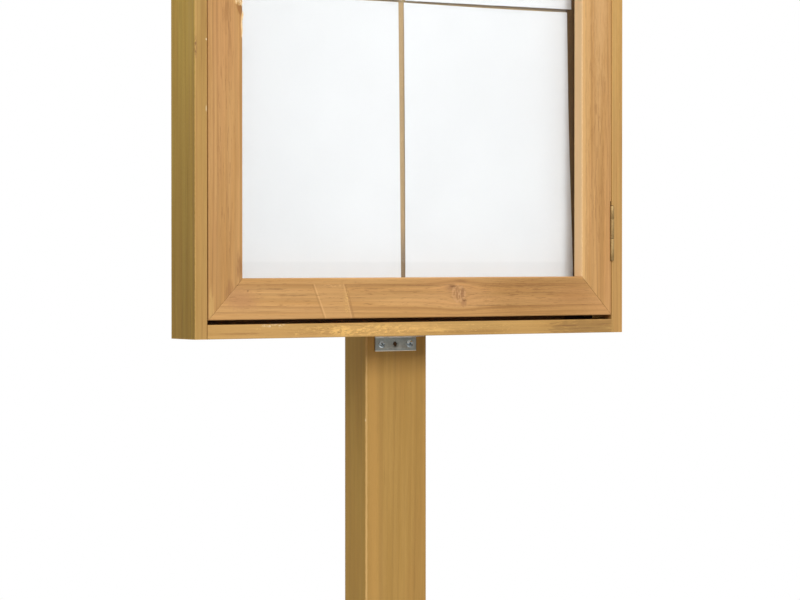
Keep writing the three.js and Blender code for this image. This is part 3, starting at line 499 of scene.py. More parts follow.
def finish_left_board():
    wood = case_wood("case_side_left", ALONG_Z, 2)
    wood.streaks(210, 0.09)
    outer = Vector((CASE_LEFT, CASE_MIDDLE_DEPTH, CASE_FOOT))
    wood.stained(outer, mm(0.7, 60, WHOLE), (234, 246, 204), soft=0.4, fray=0)
    wood.stained(outer, mm(0.7, 60, 420), (216, 212, 206), soft=0.95, fray=0.1)
    wood.stained(on_front(-257, 1300), mm(6.8, 2, WHOLE), (242, 246, 240), soft=0.3, fray=0)
    wood.torn(outer, mm(2, 40, 30), NO_GRAIN, 0.06, BRUISE, 0.7)
    near_front = on_front(CASE_LEFT / MM, 1440, CASE_FRONT + 9 * MM)
    wood.mark(near_front, mm(0.7, 12, 100), (182, 150, 78), 0.4, soft=0.9, fray=0.1)
    wood.flecks(-263.6, 1393, 2.2, 15, (900, 900, 400), 0.5, BRUISE, 0.8)
    wood.dab(-251.5, 1401, 1.1, 1.4, SPLINTER, 0.8, 2, fray=0)
    wood.dab(-251.7, 1334, 0.8, 4, SPLINTER, 0.6, 2, fray=0.1)
    wood.flecks(-256, 1320, 8, 220, (700, 700, 160), 0.1, BRUISE, 0.5)
    wood.tinted_edges(1.3, 0.5)
    wood.close()


def finish_right_board():
    wood = case_wood("case_side_right", ALONG_Z, 3)
    wood.streaks(210, 0.09)
    wood.flecks(250, 1300, 8, 300, GRAIN_Z, 0.02, TORN, 0.5)
    wood.smear(249, 1560, 16, 300, (212, 168, 98), 0.6, fray=0.2)
    wood.tinted_edges(1.3, 0.4)
    # Painted light on its inner arris by the door's gap, and a painted shade line beside the hinge's
    # barrel
    inner = wood.low.x / MM
    wood.dab(inner, 1550, 0.4, 500, TORN, 0.7, 1.6, soft=0.4, fray=0.1)
    barrel_low, barrel_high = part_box("hinge_lower_pin")
    shade_beside_barrel = (barrel_low.z + barrel_high.z) / 2 / MM
    half_length = (barrel_high.z - barrel_low.z) / 2 / MM
    wood.dab(inner + 1.6, shade_beside_barrel, 1.2, half_length, (134, 98, 58), 0.6, 2, fray=0.1)
    wood.close()


def finish_bottom_board():
    wood = case_wood("case_bottom_board", ALONG_X, 4)
    wood.streaks(260, 0.1)
    # Its upper side is darker: painted shade in the gap under the door
    upper_side_shade = Vector((0, CASE_MIDDLE_DEPTH + 2 * MM, CASE_FOOT + 14 * MM))
    wood.stained(upper_side_shade, mm(2000, 24, 1.2), (176, 150, 126), soft=0.2, fray=0)
    wood.smear(-190, 1117, 110, 20, (208, 162, 98), 0.5)
    wood.smear(-35, 1117, 120, 9, (222, 172, 102), 0.55, fray=0.4)
    wood.flecks(-66, 1117, 100, 8, (130, 480, 480), 0.42, GOLD, 0.8)
    wood.flecks(-95, 1116, 20, 7, (220, 360, 360), 0.6, GOLD, 0.8)
    wood.flecks(-10, 1117, 240, 8, (200, 700, 700), 0.28, GOLD, 0.6)
    wood.flecks(-176, 1123, 20, 2.6, (240, 500, 500), 0.45, SPLINTER, 0.7)
    wood.smear(-215, 1115, 34, 1.4, (152, 108, 58), 0.6, fray=0.5)
    wood.smear(126, 1117, 48, 20, (212, 166, 98), 0.34, 0.8)
    for x, z in (-193, 1119), (-149, 1113.5), (-132.7, 1125):
        wood.flecks(x, z, 4, 1.8, (300, 900, 900), 0.5, TORN, 0.7)
    wood.flecks(-80, 1118, 120, 8, (160, 800, 800), 0.28, BRUISE, 0.4)
    wood.smear(20, 1115.5, 22, 1.6, TORN, 0.6, 0.6, 0.6)
    wood.smear(216, 1116, 58, 14, (148, 111, 61), 0.6, 0.5, 0.8)
    for x, z, length in (186, 1118, 24), (206, 1115, 26), (228, 1119, 20):
        wood.smear(x, z, length, 0.9, (132, 92, 52), 0.6, fray=0.5)
    wood.tinted_edges(1.3, 0.4)
    wood.close()


def finish_top_board():
    wood = case_wood("case_top_board", ALONG_X, 5)
    wood.tinted_edges(1.3, 0.4)
    wood.close()


def rail_knot(wood, distance):
    """A small sound knot: a light ring, a brown heart with pale strokes, and dark smudges beside it."""
    nodes = wood.nodes
    reach = nodes.math("DIVIDE", distance, KNOT_RADIUS)
    frayed = nodes.noise(wood.place, 1, 3, 0.6, wood.seed, (420, 420, 200))
    reach = nodes.plus(reach, nodes.times(nodes.minus(frayed, 0.5), 1.3))
    x, z = KNOT
    area = Vector((2 * KNOT_RADIUS, wood.skin * MM, 2 * KNOT_RADIUS))
    front = wood.mask(on_front(x, z), area, soft=0.2, fray=0)
    heart = nodes.times(nodes.step(reach, 0.55, 0.95, 1, 0), front)
    rim = nodes.times(nodes.step(reach, 0.8, 0.98), nodes.step(reach, 0.98, 1.25, 1, 0))
    strokes = nodes.noise(wood.place, 1, 2, 0.5, wood.seed, (900, 200, 160))
    halo = 160, 114, 74
    wood.smear(x - 8, z + 6.5, 13, 6, halo, 0.7, 1.0)
    wood.dab(x + 6, z - 9, 7, 6, halo, 0.7, soft=1.0)
    wood.tint(heart, (172, 124, 78), 0.85)
    wood.tint(nodes.times(heart, nodes.step(strokes, 0.5, 0.6)), (214, 168, 118), 0.85)
    wood.tint(nodes.times(rim, front), (208, 160, 110), 0.7)
    wood.dab(x + 5, z + 1, 3, 9, halo, 0.8, soft=0.8)
    wood.smear(x - 7, z + 8, 6.5, 2.2, BRUISE, 0.8, fray=0.6)
    wood.dab(x + 7.4, z - 7, 3.4, 1.8, BRUISE, 0.8, soft=0.9, fray=0.4)
    wood.smear(x + 3, z + 13, 12, 2.4, BRUISE, 0.4)


def finish_rail():
    wood = Timber("door_rail_bottom", DOOR_TONES, ALONG_X, 8)
    distance = wood.knot(on_front(*KNOT), KNOT_RADIUS)
    wood.figure(PITH_FAR, 4.5, 0.42)
    wood.streaks(230, 0.1)
    rail_knot(wood, distance)
    # A place planed flat after gluing up, with pale and dark lines at its sides: each by its middle,
    # half width, lean, tone and strength
    patch_foot, patch_height = 1145.5, 17.5 * MM
    for x, half_width, lean, tone, strength in (
            (-104.6, 17, -0.34, (208, 160, 102), 0.4),
            (-121.5, 0.8, -0.41, (228, 180, 120), 0.5),
            (-123.6, 0.9, -0.41, (160, 112, 66), 0.3),
            (-89.2, 0.8, -0.28, (226, 178, 118), 0.3),
            (-86.8, 1.4, -0.28, (158, 110, 64), 0.42)):
        wood.planed(on_front(x, patch_foot), half_width * MM, lean, patch_height, tone, strength)
    wood.flecks(-90, 1146, 5, 24, NO_GRAIN, 0.42, TORN, 0.5)
    wood.flecks(-106, 1161.5, 20, 2.4, (200, 700, 700), 0.4, (222, 174, 112), 0.5)
    # The rosy end beside the mitre, darker smears and the darker right end
    wood.dab(-214, 1149, 27, 16, (188, 137, 89), 0.75, lean=-0.5, soft=0.8)
    for x, z, length in ((-180, 1158.5, 36), (-150, 1152, 30), (-60, 1158, 30), (120, 1160, 64),
                         (0, 1161, 50), (-20, 1155, 60), (150, 1153, 40), (90, 1140, 50)):
        wood.smear(x, z, length, 1.1, BRUISE, 0.42, fray=0.6)
    wood.dab(-204.9, 1156.8, 1.4, 0.8, BRUISE, 0.9)
    wood.flecks(0, 1152, 600, 30, (70, 1100, 1100), 0.27, (146, 98, 54), 0.6)
    wood.flecks(130, 1152, 130, 24, (55, 1300, 1300), 0.33, (150, 104, 60), 0.55)
    wood.stained(on_front(150, 1150), mm(90, 4, 40), (238, 234, 226), soft=0.5, fray=0.1)
    wood.smear(190, 1152, 36, 14, (180, 128, 74), 0.4)
    wood.flecks(60, 1146, 260, 14, (240, 800, 800), 0.02, TORN, 0.6)
    wood.tinted_edges(1.6, 0.35)
    wood.close()


def finish_lock_stile():
    wood = Timber("door_stile_lock", DOOR_TONES, ALONG_Z, 6)
    wood.figure()
    wood.streaks(210, 0.09)
    wood.stained(on_front(-230, 1450), mm(40, 4, 2000), (248, 247, 244), fray=0)
    # The torn place at the inner arris: its hollow in painted shade, pale flecks and a long pale edge
    short_grain = 260, 260, 120
    wood.dab(-213.2, 1431, 4.6, 9, (156, 106, 54), 0.9, lean=-0.35, soft=0.5, grain=short_grain)
    wood.flecks(-214, 1439, 8, 5, (800, 800, 200), 0.5, (236, 196, 130), 0.9)
    wood.dab(-211.2, 1416, 1.5, 14, SPLINTER, 1, 2, soft=0.3, fray=0.12, grain=short_grain)
    wood.smear(-229.5, 1428, 6, 22, (160, 112, 62), 0.6, fray=0.6)
    wood.smear(-226, 1400, 2, 40, (160, 112, 66), 0.4, fray=0.7)
    wood.smear(-214.3, 1181, 5.5, 20, (156, 108, 65), 0.75, fray=0.5)
    wood.smear(-226, 1158, 6, 14, (162, 112, 66), 0.65, fray=0.5)
    wood.smear(-246, 1140, 4, 26, (214, 172, 104), 0.55, 0.8, 0.4)
    wood.flecks(-230, 1300, 22, 200, (800, 800, 45), 0.3, (156, 108, 62), 0.5)
    wood.tinted_edges(1.6, 0.35)
    # Its outer arris, by the gap to the case, has a painted highlight, and painted shade lower down
    outer = STILE_LOW.x / MM
    wood.dab(outer, 1600, 0.7, 240, (236, 196, 142), 0.75, 2, soft=0.4, fray=0.08)
    wood.dab(outer, 1200, 0.5, 160, (92, 60, 30), 0.75, 2, soft=0.7, fray=0.05)
    wood.close()


def finish_hinge_stile():
    wood = Timber("door_stile_hinge", DOOR_TONES, ALONG_Z, 7)
    wood.figure(ring_width=3, ring_strength=0.36)
    wood.streaks(240, 0.08)
    inner, outer = HINGE_STILE_LOW.x / MM, HINGE_STILE_HIGH.x / MM
    # Pale streaks by the inner arris: partly the wood's own figure, partly a painted highlight on the
    # arris
    wood.smear(inner + 2, 1450, 3.5, 1000, (226, 180, 118), 0.75, 0.6, 0.2)
    wood.smear(inner + 7, 1400, 5, 320, (226, 180, 118), 0.5, 0.8)
    wood.smear(226, 1480, 15, 190, (216, 171, 114), 0.7)
    wood.stained(on_front(231, 1250), mm(14, 4, 120), (252, 251, 249), fray=0.1, grain=GRAIN_Z)
    # Its inner side, the reveal, is painted lighter: painted light
    reveal_painted_light = on_front(inner, 1450, CASE_FRONT + 6 * MM)
    wood.mark(reveal_painted_light, mm(1.4, 10, 1000), (246, 210, 160), 0.62, soft=0.3, fray=0.1)
    # Its outer arris, by the gap to the case, has a painted highlight
    wood.dab(outer, 1470, 0.9, 300, SPLINTER, 0.6, 1.6, soft=0.4, fray=0.1)
    wood.flecks(222, 1330, 16, 200, GRAIN_Z, 0.03, TORN, 0.5)
    wood.flecks(224, 1300, 22, 240, (800, 800, 45), 0.34, (158, 110, 62), 0.5)
    wood.tinted_edges(1.6, 0.35)
    wood.close()


def fibrous_wood(name, squeeze, scale, spread, tones, roughness, relief):
    """Wood of plain fibres, for what is small: its noise, the two tones that the noise spreads over."""
    material, nodes, place, shader = new_material(name)
    fibres = nodes.noise(place, scale, 2, 0.6, squeeze=squeeze)
    colour = nodes.mix(nodes.step(fibres, *spread), *(srgb(*tone) for tone in tones))
    give_surface(nodes, shader, colour, roughness, fibres, relief, 0.1)
    return material


def finish_plain_member(node_name, grain, seed):
    wood = Timber(node_name, DOOR_TONES, grain, seed)
    wood.figure()
    wood.tinted_edges(1.4, 0.3)
    wood.close()


def finish_panel():
    """Sanded ply: a broad leaf figure on its faces and glued layers on its edges."""
    wood = Timber("back_panel", PLY_TONES, ALONG_Z, 14.0)
    wood.figure(PITH_BEHIND, 9, 0.3)
    nodes = wood.nodes
    front, leaf = wood.low.y, 4 * MM
    across, depth, up = nodes.parts(wood.place)
    faced = nodes.step(depth, front + 0.5 * MM, front + 1 * MM, 1, 0)
    # Painted shade at its foot under the door, in the middle above it between the sheets, and at its
    # right edge by the hinge stile
    foot = nodes.step(up, CASE_FOOT + 18 * MM, CASE_FOOT + 26 * MM, 1, 0)
    wood.stain(nodes.times(foot, faced), (140, 108, 78), 0.9)
    above = Vector((0, front, CASE_FOOT + 60 * MM))
    wood.stained(above, mm(100, 1, 60), (200, 200, 214), soft=0.8, fray=0)
    right_edge_shade = nodes.step(across, 204 * MM, 208 * MM)
    wood.stain(nodes.times(right_edge_shade, faced), (150, 132, 116))
    layer = nodes.math("FRACT", nodes.math("DIVIDE", nodes.minus(depth, front), leaf))
    glue = nodes.step(nodes.math("ABSOLUTE", nodes.minus(layer, 0.5)), 0.42, 0.48)
    rim = nodes.rim(wood.place, wood.low, wood.high, 0.1 * MM, 0.4 * MM)
    wood.tint(nodes.times(glue, rim), (96, 68, 42), 0.7)
    wood.tinted_edges(1, 0.3, PLY_TONES[0], 0.0)
    wood.close()


def paper():
    """Plain office paper: near white, with a faint cloudiness and a soft fibre tooth."""
    material, nodes, place, shader = new_material("paper")
    clouds = nodes.noise(place, 14, 3, 0.55)
    colour = nodes.mix(nodes.step(clouds, 0.3, 0.7), srgb(220, 222, 223), srgb(223, 225, 226))
    # The edges nearest the hinges are greyed: painted shade from the hinge stile
    colour = nodes.shaded(colour, nodes.step(nodes.parts(place)[0], 195 * MM, 211 * MM, 1, 0.8))
    tooth = nodes.noise(place, 2400, 2, 0.6)
    give_surface(nodes, shader, colour, 0.9, tooth, 0.12, 0.05, Specular_IOR_Level=0.2)
    return material


def metal(name, tones, shine, seed, highlit=None):
    """Plated metal. The last argument names a CAD piece whose bend and lower edge get painted highlights,
    bright and a little warm.
    """
    material, nodes, place, shader = new_material(name)
    tone, dull, bright = (srgb(*tone) for tone in tones)
    inputs = {"Vector": place, "Tone": tone, "Dull": dull, "Bright": bright, "Shine": shine, "Seed": seed}
    look = nodes.group(worn_metal, inputs)
    colour = look["Color"]
    if highlit:
        low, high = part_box(highlit)
        height = nodes.parts(place)[2]
        # Painted highlights on its lower edge and bend
        foot = nodes.step(height, low.z + 0.4 * MM, low.z + 1.0 * MM, 1, 0)
        bend = nodes.step(height, high.z - 4 * MM, high.z - 1 * MM)
        colour = nodes.mix(foot, colour, srgb(255, 246, 228))
        colour = nodes.mix(bend, colour, srgb(250, 242, 232))
    give_surface(nodes, shader, colour, look["Roughness"], look["Height"], 0.3, 0.05, Metallic=1.0)
    return material


def let_through(material, nodes, shader, share, colour=(1, 1, 1, 1)):
    """Mixes clear nothing into a material, by a share from 0 to 1."""
    output = next(node for node in material.node_tree.nodes if node.type == "OUTPUT_MATERIAL")
    clear = nodes.add("BsdfTransparent", {"Color": colour}).outputs[0]
    mixed = nodes.add("MixShader", {0: share, 1: shader.outputs[0], 2: clear})
    nodes.fill(output, {"Surface": mixed.outputs[0]})


def clear_pane():
    """Clear sheet with sawn, finely frosted edges: lamps shine straight through it."""
    material, nodes, place, shader = new_material("clear pane")
    sawn = nodes.rim(place, *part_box("window_pane"), 0.05 * MM, 0.3 * MM, 0.5)
    nodes.fill(shader, {"Base Color": (0.985, 0.985, 0.985, 1), "Transmission Weight": 1.0, "IOR": 1.49,
                        "Roughness": sawn})
    shadow = nodes.add("LightPath").outputs["Is Shadow Ray"]
    let_through(material, nodes, shader, shadow, (0.93, 0.93, 0.93, 1))
    return material


def finish_node(node_name, material):
    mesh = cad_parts[node_name].data
    mesh.materials.clear()
    mesh.materials.append(material)


# Modelling by hand


def activate(piece):
    bpy.ops.object.select_all(action="DESELECT")
    piece.select_set(True)
    bpy.context.view_layer.objects.active = piece


@contextmanager
def editing(piece, kind="FACE"):
    """Edit mode with nothing selected."""
    activate(piece)
    bpy.ops.object.mode_set(mode="EDIT")
    bpy.ops.mesh.select_mode(type=kind)
    bpy.ops.mesh.select_all(action="DESELECT")
    yield
    bpy.ops.object.mode_set(mode="OBJECT")


def pick_faces(piece, wanted):
    """Selects the faces whose centre and normal pass a test."""
    mesh = bmesh.from_edit_mesh(piece.data)
    for face in mesh.faces:
        face.select_set(wanted(face.calc_center_median(), face.normal))
    bmesh.update_edit_mesh(piece.data)


def pick_points(piece, wanted):
    mesh = bmesh.from_edit_mesh(piece.data)
    for point in mesh.verts:
        point.select_set(wanted(point.co))
    mesh.select_flush(True)
    bmesh.update_edit_mesh(piece.data)


def extrude(along, scale=1.0):
    """Extrudes along Z and tapers the new end towards the Z axis."""
    bpy.ops.mesh.extrude_region_move(TRANSFORM_OT_translate={"value": (0, 0, along)})
    if scale != 1.0:
        bpy.ops.transform.resize(value=(scale, scale, 1), center_override=(0, 0, 0))


def modify(piece, kind, **settings):
    """Adds a modifier and applies it."""
    activate(piece)
    modifier = piece.modifiers.new(kind.lower(), kind)
    for name, value in settings.items():
        setattr(modifier, name, value)
    bpy.ops.object.modifier_apply(modifier=modifier.name)


def settle(piece):
    """Puts the piece's place into its mesh."""
    activate(piece)
    bpy.ops.object.transform_apply(location=True, rotation=True, scale=True)


def smooth(piece, angle=35):
    activate(piece)
    bpy.ops.object.shade_smooth_by_angle(angle=math.radians(angle))


def round_over(piece, angle, width=0.12):
    """Rounds over the edges that are sharper than an angle, by a width in millimetres."""
    modify(piece, "BEVEL", width=width * MM, segments=2, limit_method="ANGLE",
           angle_limit=math.radians(angle))
    smooth(piece)


def place_piece(piece, name, body, finish, *replaced):
    """Names and finishes a piece. A finish is the name of a slot, which is not used, and the material in
    it.
    """
    slot, material = finish
    piece.name = name
    piece.data.materials.clear()
    piece.data.materials.append(material)
    if replaced:
        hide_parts(*replaced)
    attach(piece, body)


def new_item(name, data):
    """A new object in the scene."""
    item = bpy.data.objects.new(name, data)
    bpy.context.scene.collection.objects.link(item)
    return item


def eased_copy(node_name, body, finish, width):
    """A CAD piece's form with its hard edges rounded over, by a width in millimetres."""
    piece = new_item(node_name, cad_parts[node_name].data.copy())
    with editing(piece):
        bpy.ops.mesh.select_all(action="SELECT")
        bpy.ops.mesh.remove_doubles(threshold=0.002 * MM)
        bpy.ops.mesh.dissolve_limited(angle_limit=math.radians(0.5))
    round_over(piece, 35, width)
    place_piece(piece, "eased_" + node_name, body, finish, node_name)


def cross_cutter(reach, width, depth):
    """A tapered cross that cuts a driver's recess into a head whose top is at Z 0, shank towards +Z."""
    parts = []
    for turn in (0, 90):
        bpy.ops.mesh.primitive_cube_add(size=1, location=(0, 0, 0))
        bar = bpy.context.object
        bar.scale = (reach, width, 2 * depth)
        bar.rotation_euler.z = math.radians(turn)
        settle(bar)
        with editing(bar):
            pick_faces(bar, lambda centre, normal: normal.z > 0.9)
            bpy.ops.transform.resize(value=(0.45, 0.45, 1), center_override=(0, 0, depth))
        parts.append(bar)
    first, second = parts
    modify(first, "BOOLEAN", object=second, operation="UNION", solver="EXACT")
    bpy.data.objects.remove(second)
    return first


def screw_form(*sizes, flange=1.0):
    """A screw along +Z with its head's rim at Z 0: shank, countersink, head and a cross recess.

    sizes, in millimetres, are the head's radius, the countersink's depth, the dome's height, the shank's
    radius, the screw's length and the recess's width. flange is how much wider than the countersink the
    raised head spreads over the plate."""
    head, sink, dome, shank, length, recess = (size * MM for size in sizes)
    bpy.ops.mesh.primitive_cylinder_add(vertices=32, radius=shank, depth=length - sink - 3 * MM,
                                        location=(0, 0, (length + sink - 3 * MM) / 2))
    screw = bpy.context.object
    settle(screw)
    rim = 0.15 * MM
    with editing(screw):
        pick_faces(screw, lambda centre, normal: normal.z > 0.9)
        extrude(3 * MM, 0.12)
        pick_faces(screw, lambda centre, normal: normal.z < -0.9)
        extrude(rim - sink, head / shank)
        extrude(-rim)
        if flange > 1.0:
            extrude(-0.02 * MM, flange)
            extrude(-0.1 * MM)
        steps = 4
        for i in range(1, steps + 1):
            before, after = (math.pi / 2 * (i - 1) / steps, math.pi / 2 * i / steps * 0.97)
            rise = dome * (math.sin(after) - math.sin(before))
            extrude(-rise, math.cos(after) / math.cos(before))
    cutter = cross_cutter(recess, recess * 0.24, recess * 0.5)
    cutter.location.z = -dome
    settle(cutter)
    modify(screw, "BOOLEAN", object=cutter, operation="DIFFERENCE", solver="EXACT")
    bpy.data.objects.remove(cutter)
    round_over(screw, 40)
    return screw


def set_screw(form, node_name, into, turn, body, finish):
    """A copy of a screw form in a CAD screw's place, turned about its own axis."""
    low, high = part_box(node_name)
    piece = new_item(node_name, form.data.copy())
    centre = (low + high) / 2
    tip = centre + into * max((high - low).dot(into), (low - high).dot(into)) / 2
    rotation = into.to_track_quat("Z", "Y").to_matrix().to_4x4()
    rotation = rotation @ Matrix.Rotation(math.radians(turn), 4, "Z")
    form_tip = max(point.co.z for point in form.data.vertices)
    piece.matrix_world = Matrix.Translation(tip) @ rotation @ Matrix.Translation((0, 0, -form_tip))
    settle(piece)
    place_piece(piece, "driven_" + node_name, body, finish, node_name)


def sheet_piece(node_name, bow, finish):
    """A paper sheet. bow moves the points of a coarse grid, given each point's shares across and up."""
    low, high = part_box(node_name)
    size = high - low
    middle = (low + high) / 2
    bpy.ops.mesh.primitive_grid_add(x_subdivisions=7, y_subdivisions=10, size=1,
                                    location=(middle.x, low.y, middle.z), rotation=(math.pi / 2, 0, 0))
    piece = bpy.context.object
    piece.scale = (size.x, size.z, 1)
    settle(piece)
    columns = sorted({round((point.co.x - low.x) / size.x, 4) for point in piece.data.vertices})
    rows = sorted({round((point.co.z - low.z) / size.z, 4) for point in piece.data.vertices})
    with editing(piece, "VERT"):
        for across in columns:
            for up in rows:
                spot_at = Vector((low.x + across * size.x, low.z + up * size.z))
                pick_points(piece, lambda co: (co.xz - spot_at).length < 1 * MM)
                bpy.ops.transform.translate(value=bow(across, up))
    modify(piece, "SUBSURF", levels=2, render_levels=2, boundary_smooth="PRESERVE_CORNERS")
    modify(piece, "SOLIDIFY", thickness=0.25 * MM, offset=-1)
    smooth(piece, 60)
    place_piece(piece, "bowed_" + node_name, "stand", finish, node_name)


def shifted(right, forward, up=0.0):
    """A move in millimetres: to the right, towards the front and up."""
    return Vector((right * MM, -forward * MM, up * MM))


def upper_left_bow(across, up):
    corner = max(0, across - 0.6) / 0.4 * max(0, 0.35 - up) / 0.35
    return shifted(0, 0.4 + 2.6 * corner ** 2 + 0.8 * math.sin(math.pi * across))


def upper_right_bow(across, up):
    return shifted(-1.0 * (1 - up), 0.5 + (1.4 + 1.8 * across) * (1 - up) ** 2, -0.35 * (1 - up))


def lower_left_bow(across, up):
    to_right = across * (0.7 - 3.1 * up - 0.5 * math.sin(math.pi * up))
    forward = 0.4 + 0.5 * across * (1 - up) + 0.8 * math.sin(math.pi * up)
    return shifted(to_right, forward, (0.5 + 0.5 * across) * max(0, up - 0.5) * 2)


def lower_right_bow(across, up):
    edge = max(0, across - 0.8) / 0.2
    rolled = 2.3 * math.sin(min(1, up / 0.62) * math.pi / 2) ** 2 - 2.6 * max(0, up - 0.7)
    to_right = (1 - across) * (0.3 - 2 * up) + across * (1.8 - 6.6 * up - rolled)
    forward = 0.4 + 0.6 * math.sin(math.pi * up) + edge ** 2 * (3.4 - 0.6 * up)
    droop = 0.8 - 1.45 * math.sin(min(1, across / 0.8) * math.pi / 2)
    return shifted(to_right, forward, droop * max(0, up - 0.5) * 2)


# Each splinter by the place of its foot across and up, how wide and long it is, and its tip's lean, in mm
SPLINTERS = ((-218.2, 1436.5, 1.3, 6.5, -0.8), (-216.0, 1438.0, 1.5, 5.0, 0.5),
             (-213.8, 1435.5, 1.4, 8.5, -0.4), (-212.2, 1434.8, 1.2, 6.0, 0.9),
             (-211.4, 1421.0, 1.6, 9.5, 1.5), (-211.8, 1404.5, 1.3, 20.0, 0.1))


def splinter_form(width, length, lean):
    """A thin spike of torn wood, standing on Z 0, thickest a third of the way up."""
    bpy.ops.mesh.primitive_cube_add(size=1, location=(0, 0, 0.5 * MM))
    spike = bpy.context.object
    spike.scale = (0.6 * width, 0.9 * MM, 1 * MM)
    settle(spike)
    with editing(spike):
        for rise, swell, bend in ((0.3, 1.5, 0.2), (0.35, 0.7, 0.4), (0.35, 0.12, 0.4)):
            top = max(face.calc_center_median().z for face in bmesh.from_edit_mesh(spike.data).faces)
            pick_faces(spike, lambda centre, normal: centre.z > top - 0.01 * MM)
            extrude(rise * (length - 1 * MM), swell)
            bpy.ops.transform.translate(value=(bend * lean, 0, 0))
    round_over(spike, 30)
    return spike


def splinters(finish):
    """Splinters lifted where a cutter tore the lock stile's inner arris, on the door's face."""
    spikes = []
    for across, up, width, length, lean in SPLINTERS:
        spike = splinter_form(width * MM, length * MM, lean * MM)
        spike.location = on_front(across, up, CASE_FRONT - 0.1 * MM)
        settle(spike)
        spikes.append(spike)
    activate(spikes[0])
    for spike in spikes[1:]:
        spike.select_set(True)
    bpy.ops.object.join()
    place_piece(spikes[0], "lifted_splinters", "door", finish)


# The studio


def add_camera():
    camera = new_item("camera", bpy.data.cameras.new("camera"))
    camera.data.sensor_width = SENSOR_WIDTH
    camera.data.lens = FOCAL_PIXELS * SENSOR_WIDTH / IMAGE_WIDTH
    forward = Vector((math.sin(CAMERA_TURN), math.cos(CAMERA_TURN), 0))
    right = Vector((math.cos(CAMERA_TURN), -math.sin(CAMERA_TURN), 0))
    aside = (CASE_EDGE_PIXEL - IMAGE_WIDTH / 2) / FOCAL_PIXELS * CAMERA_DISTANCE
    corner = Vector((CASE_LEFT, CASE_FRONT, CASE_FOOT + CAMERA_ABOVE_FOOT))
    camera.location = corner - CAMERA_DISTANCE * forward - aside * right
    camera.rotation_euler = (math.radians(90) + CAMERA_PITCH, 0, -CAMERA_TURN)
    bpy.context.scene.camera = camera


def add_lamp(name, azimuth, elevation, distance, width, height, watts):
    turn, rise = math.radians(azimuth), math.radians(elevation)
    away = Vector((-math.sin(turn) * math.cos(rise), -math.cos(turn) * math.cos(rise), math.sin(rise)))
    data = bpy.data.lights.new(name, "AREA")
    data.shape = "RECTANGLE"
    data.size = width
    data.size_y = height
    data.energy = watts
    lamp = new_item(name, data)
    lamp.location = LIGHT_AIM + distance * away
    lamp.rotation_euler = (-away).to_track_quat("-Z", "Y").to_euler()
    # Lamps shine through the pane by shadow rays alone, so that they aren't counted twice
    lamp.visible_transmission = False


def add_world():
    world = bpy.data.worlds.new("studio")
    bpy.context.scene.world = world
    world.use_nodes = True
    world.node_tree.nodes.clear()
    nodes = Nodes(world.node_tree)
    height = nodes.parts(nodes.add("TexCoord").outputs["Generated"])["Z"]
    below = nodes.step(height, -1, 0, AMBIENT_BELOW, AMBIENT_ASIDE)
    above = nodes.step(height, 0, 1, 0, AMBIENT_ABOVE - AMBIENT_ASIDE)
    lit = nodes.plus(below, above)
    mirrored = nodes.step(height, MIRROR_LINE - 0.0005, MIRROR_LINE + 0.0005, MIRRORED_BELOW, 1)
    rays = nodes.add("LightPath").outputs
    # The studio isn't counted twice either: rays that leave the object through the pane find it dark
    unscattered = nodes.math("SUBTRACT", 1, rays["Diffuse Depth"], clamp=True)
    through_pane = nodes.times(rays["Is Transmission Ray"], unscattered)
    outside_pane = nodes.minus(1, rays["Is Transmission Ray"])
    lit = nodes.times(lit, outside_pane)
    seen = nodes.math("MAXIMUM", rays["Is Camera Ray"], through_pane)
    glossy = nodes.math("SUBTRACT", rays["Is Glossy Ray"], rays["Is Transmission Ray"], clamp=True)
    strength = nodes.add("Mix", {0: glossy, 2: lit, 3: mirrored}, data_type="FLOAT").outputs[0]
    strength = nodes.add("Mix", {0: seen, 2: strength, 3: 1.0}, data_type="FLOAT").outputs[0]
    background = nodes.add("Background", {"Color": (1, 1, 1, 1), "Strength": strength})
    nodes.add("OutputWorld", {"Surface": background.outputs[0]})


def add_floor():
    bpy.ops.mesh.primitive_circle_add(vertices=96, radius=FLOOR_RADIUS, fill_type="NGON")
    floor = bpy.context.object
    floor.name = "studio_floor"
    material, nodes, place, shader = new_material("studio floor")
    nodes.fill(shader, {"Base Color": (0.86, 0.86, 0.86, 1), "Roughness": 0.8})
    far = nodes.step(nodes.vector("LENGTH", place), FLOOR_FADE, FLOOR_RADIUS)
    let_through(material, nodes, shader, far)
    floor.data.materials.append(material)


# Put the studio up, then finish the object piece by piece
bpy.ops.object.select_all(action="DESELECT")
bpy.context.scene.view_settings.view_transform = "Standard"
add_camera()
add_world()
for lamp_name, lamp in LAMPS.items():
    add_lamp(lamp_name, *lamp)
add_floor()

finish_post()
finish_left_board()
finish_right_board()
finish_bottom_board()
finish_top_board()
finish_panel()
finish_lock_stile()
torn_tones = (224, 176, 108), (252, 228, 182)
torn_wood = fibrous_wood("torn wood", (1, 1, 0.1), 2200, (0.36, 0.62), torn_tones, 0.8, 0.4)
splinters(("door_wood", torn_wood))
finish_hinge_stile()
finish_rail()
finish_plain_member("door_rail_top", ALONG_X, 9)
for i, side in enumerate(("left", "right", "bottom", "top")):
    finish_plain_member("glazing_bead_" + side, ALONG_Z if i < 2 else ALONG_X, 10.0 + i)
finish_node("window_pane", clear_pane())
beech_tones = (214, 184, 140), (190, 150, 104)
beech = fibrous_wood("beech", (0.2, 1, 1), 1800, (0.4, 0.66), beech_tones, 0.75, 0.3)
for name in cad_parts:
    if name.startswith("corner_dowel"):
        finish_node(name, beech)

